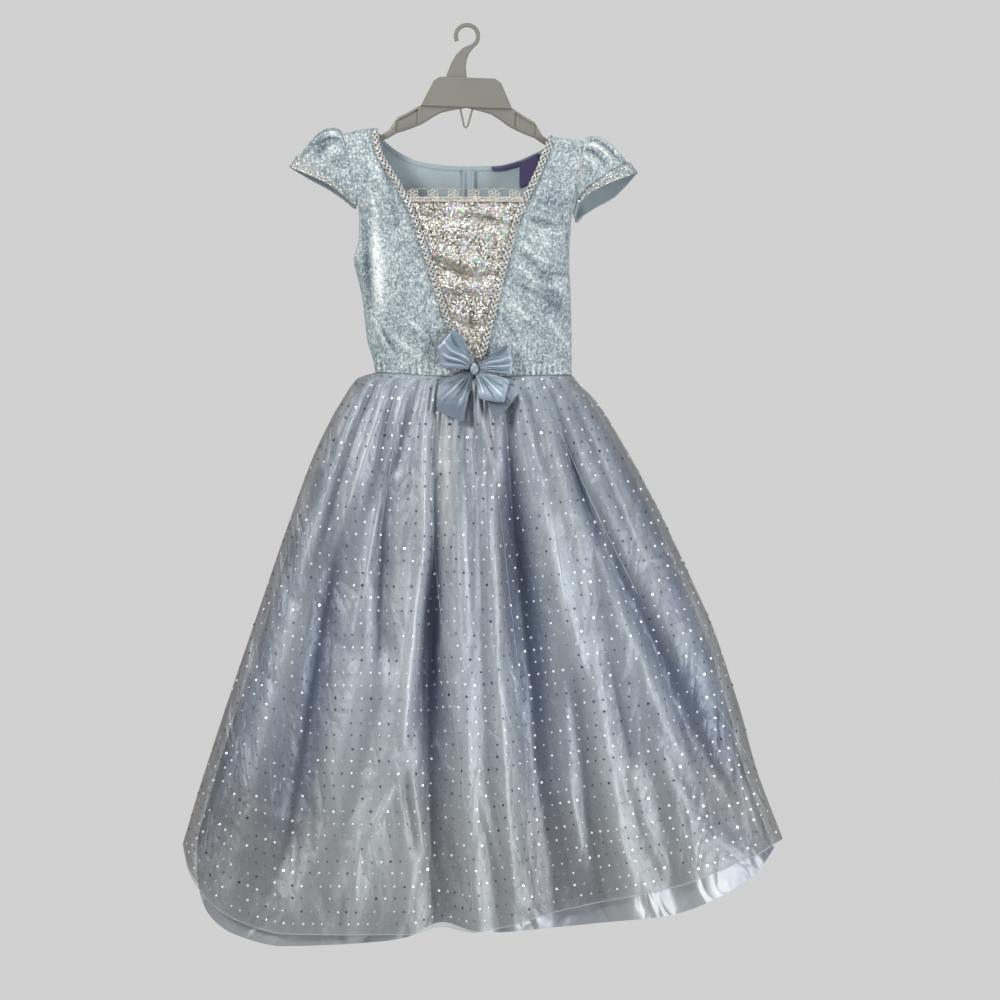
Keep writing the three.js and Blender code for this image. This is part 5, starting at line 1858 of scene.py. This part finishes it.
def satin(face, columns, rows):
    away = AWAY[face]

    def pin(layer):
        layer[:, [0, -1], 1] = away * SEAM_GAP / 2
        layer[0, :, 2] = waist_line(layer[0, :, 0]) - SEAM_GAP / 2

    piece = cloth_shell(
        f"satin_{face}", skirt_grid("satin", face, columns, rows), SATIN, [SMOOTH_SATIN], away, pin,
    )
    return mark_painted_skirt_shade(piece, face)


def foil_dots(face):
    """Foil dots in level rows down the organza, each row at its own even step across the cloth."""
    away = AWAY[face]
    grid = skirt_grid("organza", face, 700, 560)
    normals = grid_normals(grid) * away
    reach = np.cumsum(np.linalg.norm(np.diff(grid[:, 350], axis=0), axis=1))
    rng = np.random.default_rng(3 if face == "front" else 4)
    points, facing = [], []
    for row, place in enumerate(np.arange(7, reach[-1] - 2, FOIL["down"])):
        j = int(np.searchsorted(reach, place))
        at, found = rows_along(
            grid[j], FOIL["across"], 4 + (row % 2) * FOIL["across"] / 2 + rng.uniform(-0.8, 0.8),
        )
        at = np.clip(np.round(at).astype(int), 2, 697)
        points.append(found + rng.normal(0, 0.25, found.shape) * (1, 0, 1))
        facing.append(normals[j][at])
    points, facing = np.concatenate(points), np.concatenate(facing)
    points = points + facing * FOIL["out"]
    return spangles_on(
        f"foil_dots_{face}", points, facing, DOT_FOIL, FOIL["radius"], 0.02, 0.06, 9, 0.16, 0.26,
        31,
    )


def pleat_edges(face):
    grid = skirt_grid("organza", face, 500, 420)
    normals = grid_normals(grid)
    normals *= np.sign(normals[..., 1:2]) * AWAY[face]
    raised = (grid + normals * PLEAT_EDGE["out"]).reshape(-1, 3)
    nearest = nearest_of(raised[:, [0, 2, 2]] * (1, 1, 0))
    lines = []
    for rows in PLEAT_EDGES[face]:
        z = np.arange(rows["z"].max(), rows["z"].min(), -4.0)
        x = curve(rows, "z", "x")(z)
        found = [nearest.find((place, height, 0))[1] for place, height in zip(
            x.tolist(), z.tolist(),
        )]
        lines.append((stack(x, raised[found, 1], z), False))
    folds = strands(f"pleat_edges_{face}", lines, PLEAT_EDGE["thread"], ORGANZA_EDGE, 4)
    hem_line = [(grid[-1, 2:-2], False)]
    rolled = strands(f"rolled_hem_{face}", hem_line, PLEAT_EDGE["hem_thread"], ORGANZA_EDGE, 6)
    return [folds, rolled]


# Bow


def straight_rim(reach_out, half_turn, b):
    """How far a ribbon's cut edge is from the knot, where it runs straight from corner to
    corner."""
    near, middle, far = reach_out
    first, last = np.where(b < 0.5, near, middle), np.where(b < 0.5, middle, far)
    turned = half_turn * np.where(b < 0.5, 2 * b, 2 * b - 1)
    shares = first * np.sin(turned) + last * np.sin(half_turn - turned)
    return first * last * math.sin(half_turn) / shares


def bow_piece(index, name):
    row = {key: values[index] for key, values in BOW.items()}
    is_loop = row["deep"] > 0
    reach_out = (row["near"], row["middle"], row["far"])
    rim = curve({"b": np.array([0, 0.5, 1]), "r": np.array(reach_out)}, "b", "r")
    sunk = math.sqrt(1 - (max(0, -row["root"] - 0.6) / KNOT["halfDepth"]) ** 2)
    c = np.linspace(0, 1, 84 if is_loop else 44)[:, None]
    b = np.linspace(0, 1, 64)[None]
    along = np.sin(c * np.pi) ** 0.8 if is_loop else c + 0 * b
    front_share = (1 + np.cos(c * np.pi)) / 2 if is_loop else 0
    turning = np.sign(row["to"] - row["from"])
    to = row["to"] - turning * row["open"] * front_share * ease(along * 1.4)
    angle = np.radians(lerp(row["from"], to, b))
    cos, sin = np.cos(angle), np.sin(angle)
    start = sunk / np.hypot(cos / KNOT["halfWidth"], sin / KNOT["halfHeight"]) + KNOT["gap"]
    straight = straight_rim(reach_out, math.radians(row["to"] - row["from"]) / 2, b)
    r = lerp(start, lerp(rim(b), straight, STRAIGHTNESS), along)
    apart = row["deep"] * (0.2 + 0.8 * along) * np.cos(c * np.pi) if is_loop else 0
    pleat = RIBBON_PLEATS["height"] * np.cos(2 * np.pi * RIBBON_PLEATS["count"] * b)
    pleat = pleat * (1 - along) ** 2
    folds = 0.0
    for at, reach, half, out in rows_of(BOW_CREASES[name], "b reach half out"):
        widening = half * (0.7 + 0.9 * along)
        fold = out * bump(b - at, widening) * ease(along * 4)
        folds = folds + fold * ease((reach + 0.15 - along) * 4)
    if is_loop:
        folds = folds * np.cos(c * np.pi) * (np.cos(c * np.pi) > 0)
    z = KNOT["z"] + r * sin
    lie = lerp(
        KNOT["y"] - row["root"], bow_lie(z) - row["off"] - row["deep"] / 2, ease(along * 2.5),
    )
    grid = stack(KNOT["x"] + r * cos, lie - apart / 2 - pleat - folds, z)
    normals = grid_normals(grid[: len(c) // 3])
    outside = 1 if np.mean(normals[..., 1]) < 0 else -1
    piece = cloth_shell(f"ribbon_{name}", grid, RIBBON, [RIBBON_SATIN], outside)
    # Painted shade: the tails darker all over, and each piece darker close to the knot
    painted_tail_shade = 0 if is_loop else TAIL_PAINTED_SHADE
    return mark_painted_fold_light(piece, grid, (folds + pleat - 0.5 * (1 - along) ** 3 - painted_tail_shade) / RIBBON_PAINTED_SHADE_SPAN)


def bow_knot():
    """The ribbon drawn together in the middle of the bow, ribbed by its gathers and closed at both
    ends."""
    rows, columns = 40, 72
    tilt = np.radians(np.linspace(-89, 89, rows))[:, None]
    turn = np.linspace(0, 2 * np.pi, columns, endpoint=False)[None]
    ribs = np.cos(KNOT_RIBS["count"] * turn + KNOT_RIBS["sway"] * np.sin(2 * tilt))
    rib = 1 - KNOT_RIBS["deep"] * (0.5 + 0.5 * ribs) * np.cos(tilt)
    rib = rib * KNOT["drawn_in"]
    x = KNOT["x"] + KNOT["halfWidth"] * np.cos(tilt) * np.cos(turn) * rib
    y = KNOT["y"] + KNOT["halfDepth"] * np.cos(tilt) * np.sin(turn) * rib
    z = KNOT["z"] + KNOT["halfHeight"] * np.sin(tilt) + 0 * turn
    points = stack(x, y, z).reshape(-1, 3)
    index = np.arange(rows * columns).reshape(rows, columns)
    index = np.concatenate([index, index[:, :1]], 1)
    corners = (index[:-1, :-1], index[:-1, 1:], index[1:, 1:], index[1:, :-1])
    faces = np.stack(corners, -1).reshape(-1, 4).tolist()
    faces += [index[0, :-1][::-1].tolist(), index[-1, :-1].tolist()]
    mesh = bpy.data.meshes.new("ribbon_knot")
    mesh.from_pydata((points * MM).tolist(), [], faces)
    mesh.materials.append(RIBBON_SATIN)
    mesh.shade_smooth()
    corner = np.zeros(len(mesh.loops), np.int32)
    mesh.loops.foreach_get("vertex_index", corner)
    uv = points[:, [0, 2]] * MM
    mesh.uv_layers.new(name="cloth").data.foreach_set("uv", uv[corner].ravel())
    # Painted highlight on the knot's ribs and painted shade between them
    tone = KNOT_PAINTED_SHADE["ridge"] * (rib / KNOT["drawn_in"] - KNOT_PAINTED_SHADE["middle"])
    return mark_painted_fold_light(shown_object("ribbon_knot", mesh), points.reshape(rows, columns, 3), tone)


# Inside the back


def inside_back(name, left, right, top, bottom, thickness, material, rows, columns, ridge=0.0):
    r, c = np.linspace(0, 1, rows)[:, None], np.linspace(0, 1, columns)[None]
    x = lerp(left, right, c) + 0 * r
    z = lerp(top(x), bottom(x), r)
    curl = ridge * sum(bump(c - at, CURL["half"]) for at in CURL["at"])
    grid = surface("back", x, z, -(FRAME_VELVET + thickness) / 2 - LINING_GAP) + 0
    grid[..., 1] -= curl
    return cloth_shell(name, grid, thickness, [material], -1)


def label(name, size):
    return inside_back(
        name,
        size["left"],
        size["right"],
        lambda x: back_neck(x) - size["below"],
        lambda x: back_neck(x) - size["below"] - size["height"],
        LABEL,
        LABEL_SATIN,
        28,
        24,
    )


def stitches_on(name, points, along, length, thickness):
    sizes = {"Length": length * MM, "Thickness": thickness * MM, "Material": SEWING_THREAD}
    return grown(name, STITCHES, points, sizes, along=along)


def neck_stitches():
    """The row of stitches that holds the neck's folded edge."""
    x = np.linspace(NECK["left"] + 5, NECK["right"] - 5, 900)
    line = surface("back", x, back_neck(x) - 5.2, -VELVET / 2 - 0.62)
    at, points = rows_along(line, 3.1, 1)
    along = np.gradient(line, axis=0)[np.round(at).astype(int)]
    return stitches_on("neck_stitches", points, along, 2.1, 0.65)


def label_stitches():
    points, along = [], []
    for size in (CARE_LABEL, NECK_LABEL):
        x = np.linspace(size["left"] + 1.5, size["right"] - 1.5, 120)
        line = surface(
            "back", x, back_neck(x) - size["below"] - 1.3,
            -(FRAME_VELVET + 2 * LABEL) / 2 - LINING_GAP - 0.12,
        )
        at, found = rows_along(line, 2.4, 1)
        points.append(found)
        along.append(np.gradient(line, axis=0)[np.round(at).astype(int)])
    return stitches_on("label_stitches", np.concatenate(points), np.concatenate(along), 1.6, 0.4)


# Dressing the frame


def dress(piece, slot, *nodes):
    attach(piece, "root")
    if nodes:
        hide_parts(*nodes)
    return piece


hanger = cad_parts["hanger"]
hanger.data.materials.clear()
hanger.data.materials.append(MOULDED_PLASTIC)
hanger.data.set_sharp_from_angle(angle=math.radians(35))

PANEL_CUTS = {
    ("front", -1): (0.11, 0.31, 0.78), ("front", 1): (0.12, 0.31, 0.68),
    ("back", -1): (0.15, 0.3, 0.82), ("back", 1): (0.14, 0.3, 0.82),
}
for (face, side), (width, length, share) in PANEL_CUTS.items():
    name = "left" if side < 0 else "right"
    panel = dress(bodice_panel(face, side), "velvet", f"bodice_{face}_{name}")

for name in ("left", "right"):
    cap = dress(sleeve_cloth(name), "velvet", f"sleeve_{name}")
    band, flecks = sleeve_band(name)
    dress(band, "glitter", f"sleeve_trim_{name}")
    dress(flecks, "glitter")

ground = dress(sequin_cloth(), "sequins", "inset")
spangles = dress(sequins(), "sequins")
lace_band, lace_fine = lace_edge()
dress(lace_band, "lace", "lace_flowers")
dress(lace_fine, "lace")

for side, name in ((-1, "left"), (1, "right")):
    threads, painted_shade_tape = plait(side)
    dress(threads, "braid", f"braid_{name}")
    dress(painted_shade_tape, "braid")

SKIRT_CUTS = {
    "organza_front": (0.82, 0.69, 0.75), "organza_back": (0.8, 0.69, 0.72),
    "satin_front": (0.78, 0.69, 0.75), "satin_back": (0.76, 0.69, 0.72),
}
skirt_pieces = {
    "satin_front": dress(satin("front", 180, 120), "satin", "underskirt_front"),
    "satin_back": dress(satin("back", 140, 90), "satin", "underskirt_back"),
    "organza_front": dress(organza("front", 310, 150), "organza", "overskirt_front"),
    "organza_back": dress(organza("back", 230, 110), "organza", "overskirt_back"),
}
dots = {
    f"organza_{face}": [dress(piece, "organza") for piece in (foil_dots(face), *pleat_edges(face))]
    for face in ("front", "back")
}
for name, piece in skirt_pieces.items():
    width, length, share = SKIRT_CUTS[name]

BOW_CUTS = ((0.036, 0.085), (0.03, 0.072), (0.04, 0.085), (0.05, 0.055), (0.042, 0.052))
for index, (name, flat) in enumerate(zip(BOW_PIECES, BOW_CUTS)):
    piece = dress(bow_piece(index, name), "ribbon", f"bow_{name}")
dress(bow_knot(), "ribbon", "bow_knot")

tape = inside_back(
    "placket_tape",
    PLACKET["left"],
    PLACKET["right"],
    lambda x: PLACKET["top"] + 0 * x,
    lambda x: PLACKET["bottom"] + 0 * x,
    TAPE,
    CLOSURE_TAPE,
    90,
    30,
    2.0,
)
dress(tape, "tape", "placket")
for name, size, node_name in (
    ("care_label", CARE_LABEL, "label_care"), ("neck_label", NECK_LABEL, "label_neck"),
):
    tag = dress(label(name, size), "label", node_name)
dress(neck_stitches(), "velvet")
dress(label_stitches(), "label")

# Studio

floor_mesh = bpy.data.meshes.new("floor")
floor_mesh.from_pydata(
    [(-2, -2, -1.6), (2, -2, -1.6), (2, 1.9, -1.6), (-2, 1.9, -1.6)], [], [(0, 1, 2, 3)],
)
floor = shown_object("floor", floor_mesh)
paper, paper_tree, paper_bsdf = finish_of("studio_paper")
set_plain(paper_bsdf, Base_Color=srgb(214, 214, 214), Roughness=0.85)
floor_mesh.materials.append(paper)


def softbox(name, place, aim, width, height, energy, colour=(1, 1, 1)):
    light = bpy.data.lights.new(name, "AREA")
    light.shape = "RECTANGLE"
    light.size, light.size_y = width, height
    light.energy, light.color = energy, colour
    lamp = shown_object(name, light)
    lamp.location = place
    direction = Vector(aim) - Vector(place)
    lamp.rotation_euler = direction.to_track_quat("-Z", "Y").to_euler()
    return lamp


softbox("window_left", (-2.0, -1.6, 0.9), (0, 0, -0.6), 0.7, 1.1, 65, (1, 0.99, 0.97))
softbox("fill_right", (2.1, -1.5, -0.7), (0.1, 0, -0.8), 0.7, 1.2, 44, (0.98, 0.99, 1))
softbox("above", (0.2, -1.0, 1.6), (0, 0, -0.5), 1.2, 0.8, 20)
softbox("behind", (0.8, 2.6, 0.4), (0, 0, -0.6), 1.8, 1.8, 20)

world = bpy.data.worlds.new("studio")
world.use_nodes = True
bpy.context.scene.world = world
sky = world.node_tree
for old in list(sky.nodes):
    sky.nodes.remove(old)
seen = node(sky, "ShaderNodeBackground", {"Color": BACKGROUND, "Strength": 1.0})
lighting = node(sky, "ShaderNodeBackground", {"Color": (0.9, 0.95, 1, 1), "Strength": 0.15})
path = node(sky, "ShaderNodeLightPath")
chosen = node(
    sky, "ShaderNodeMixShader",
    {0: path.outputs["Is Camera Ray"], 1: lighting.outputs[0], 2: seen.outputs[0]},
)
node(sky, "ShaderNodeOutputWorld", {"Surface": chosen.outputs[0]})

camera_data = bpy.data.cameras.new("camera")
camera_data.lens = 270
camera_data.sensor_width = 36
camera = shown_object("camera", camera_data)
camera.location = (0.0396, -9.0, -0.5676)
camera.rotation_euler = (math.pi / 2, 0, 0)
bpy.context.scene.camera = camera
bpy.context.scene.view_settings.view_transform = "Standard"
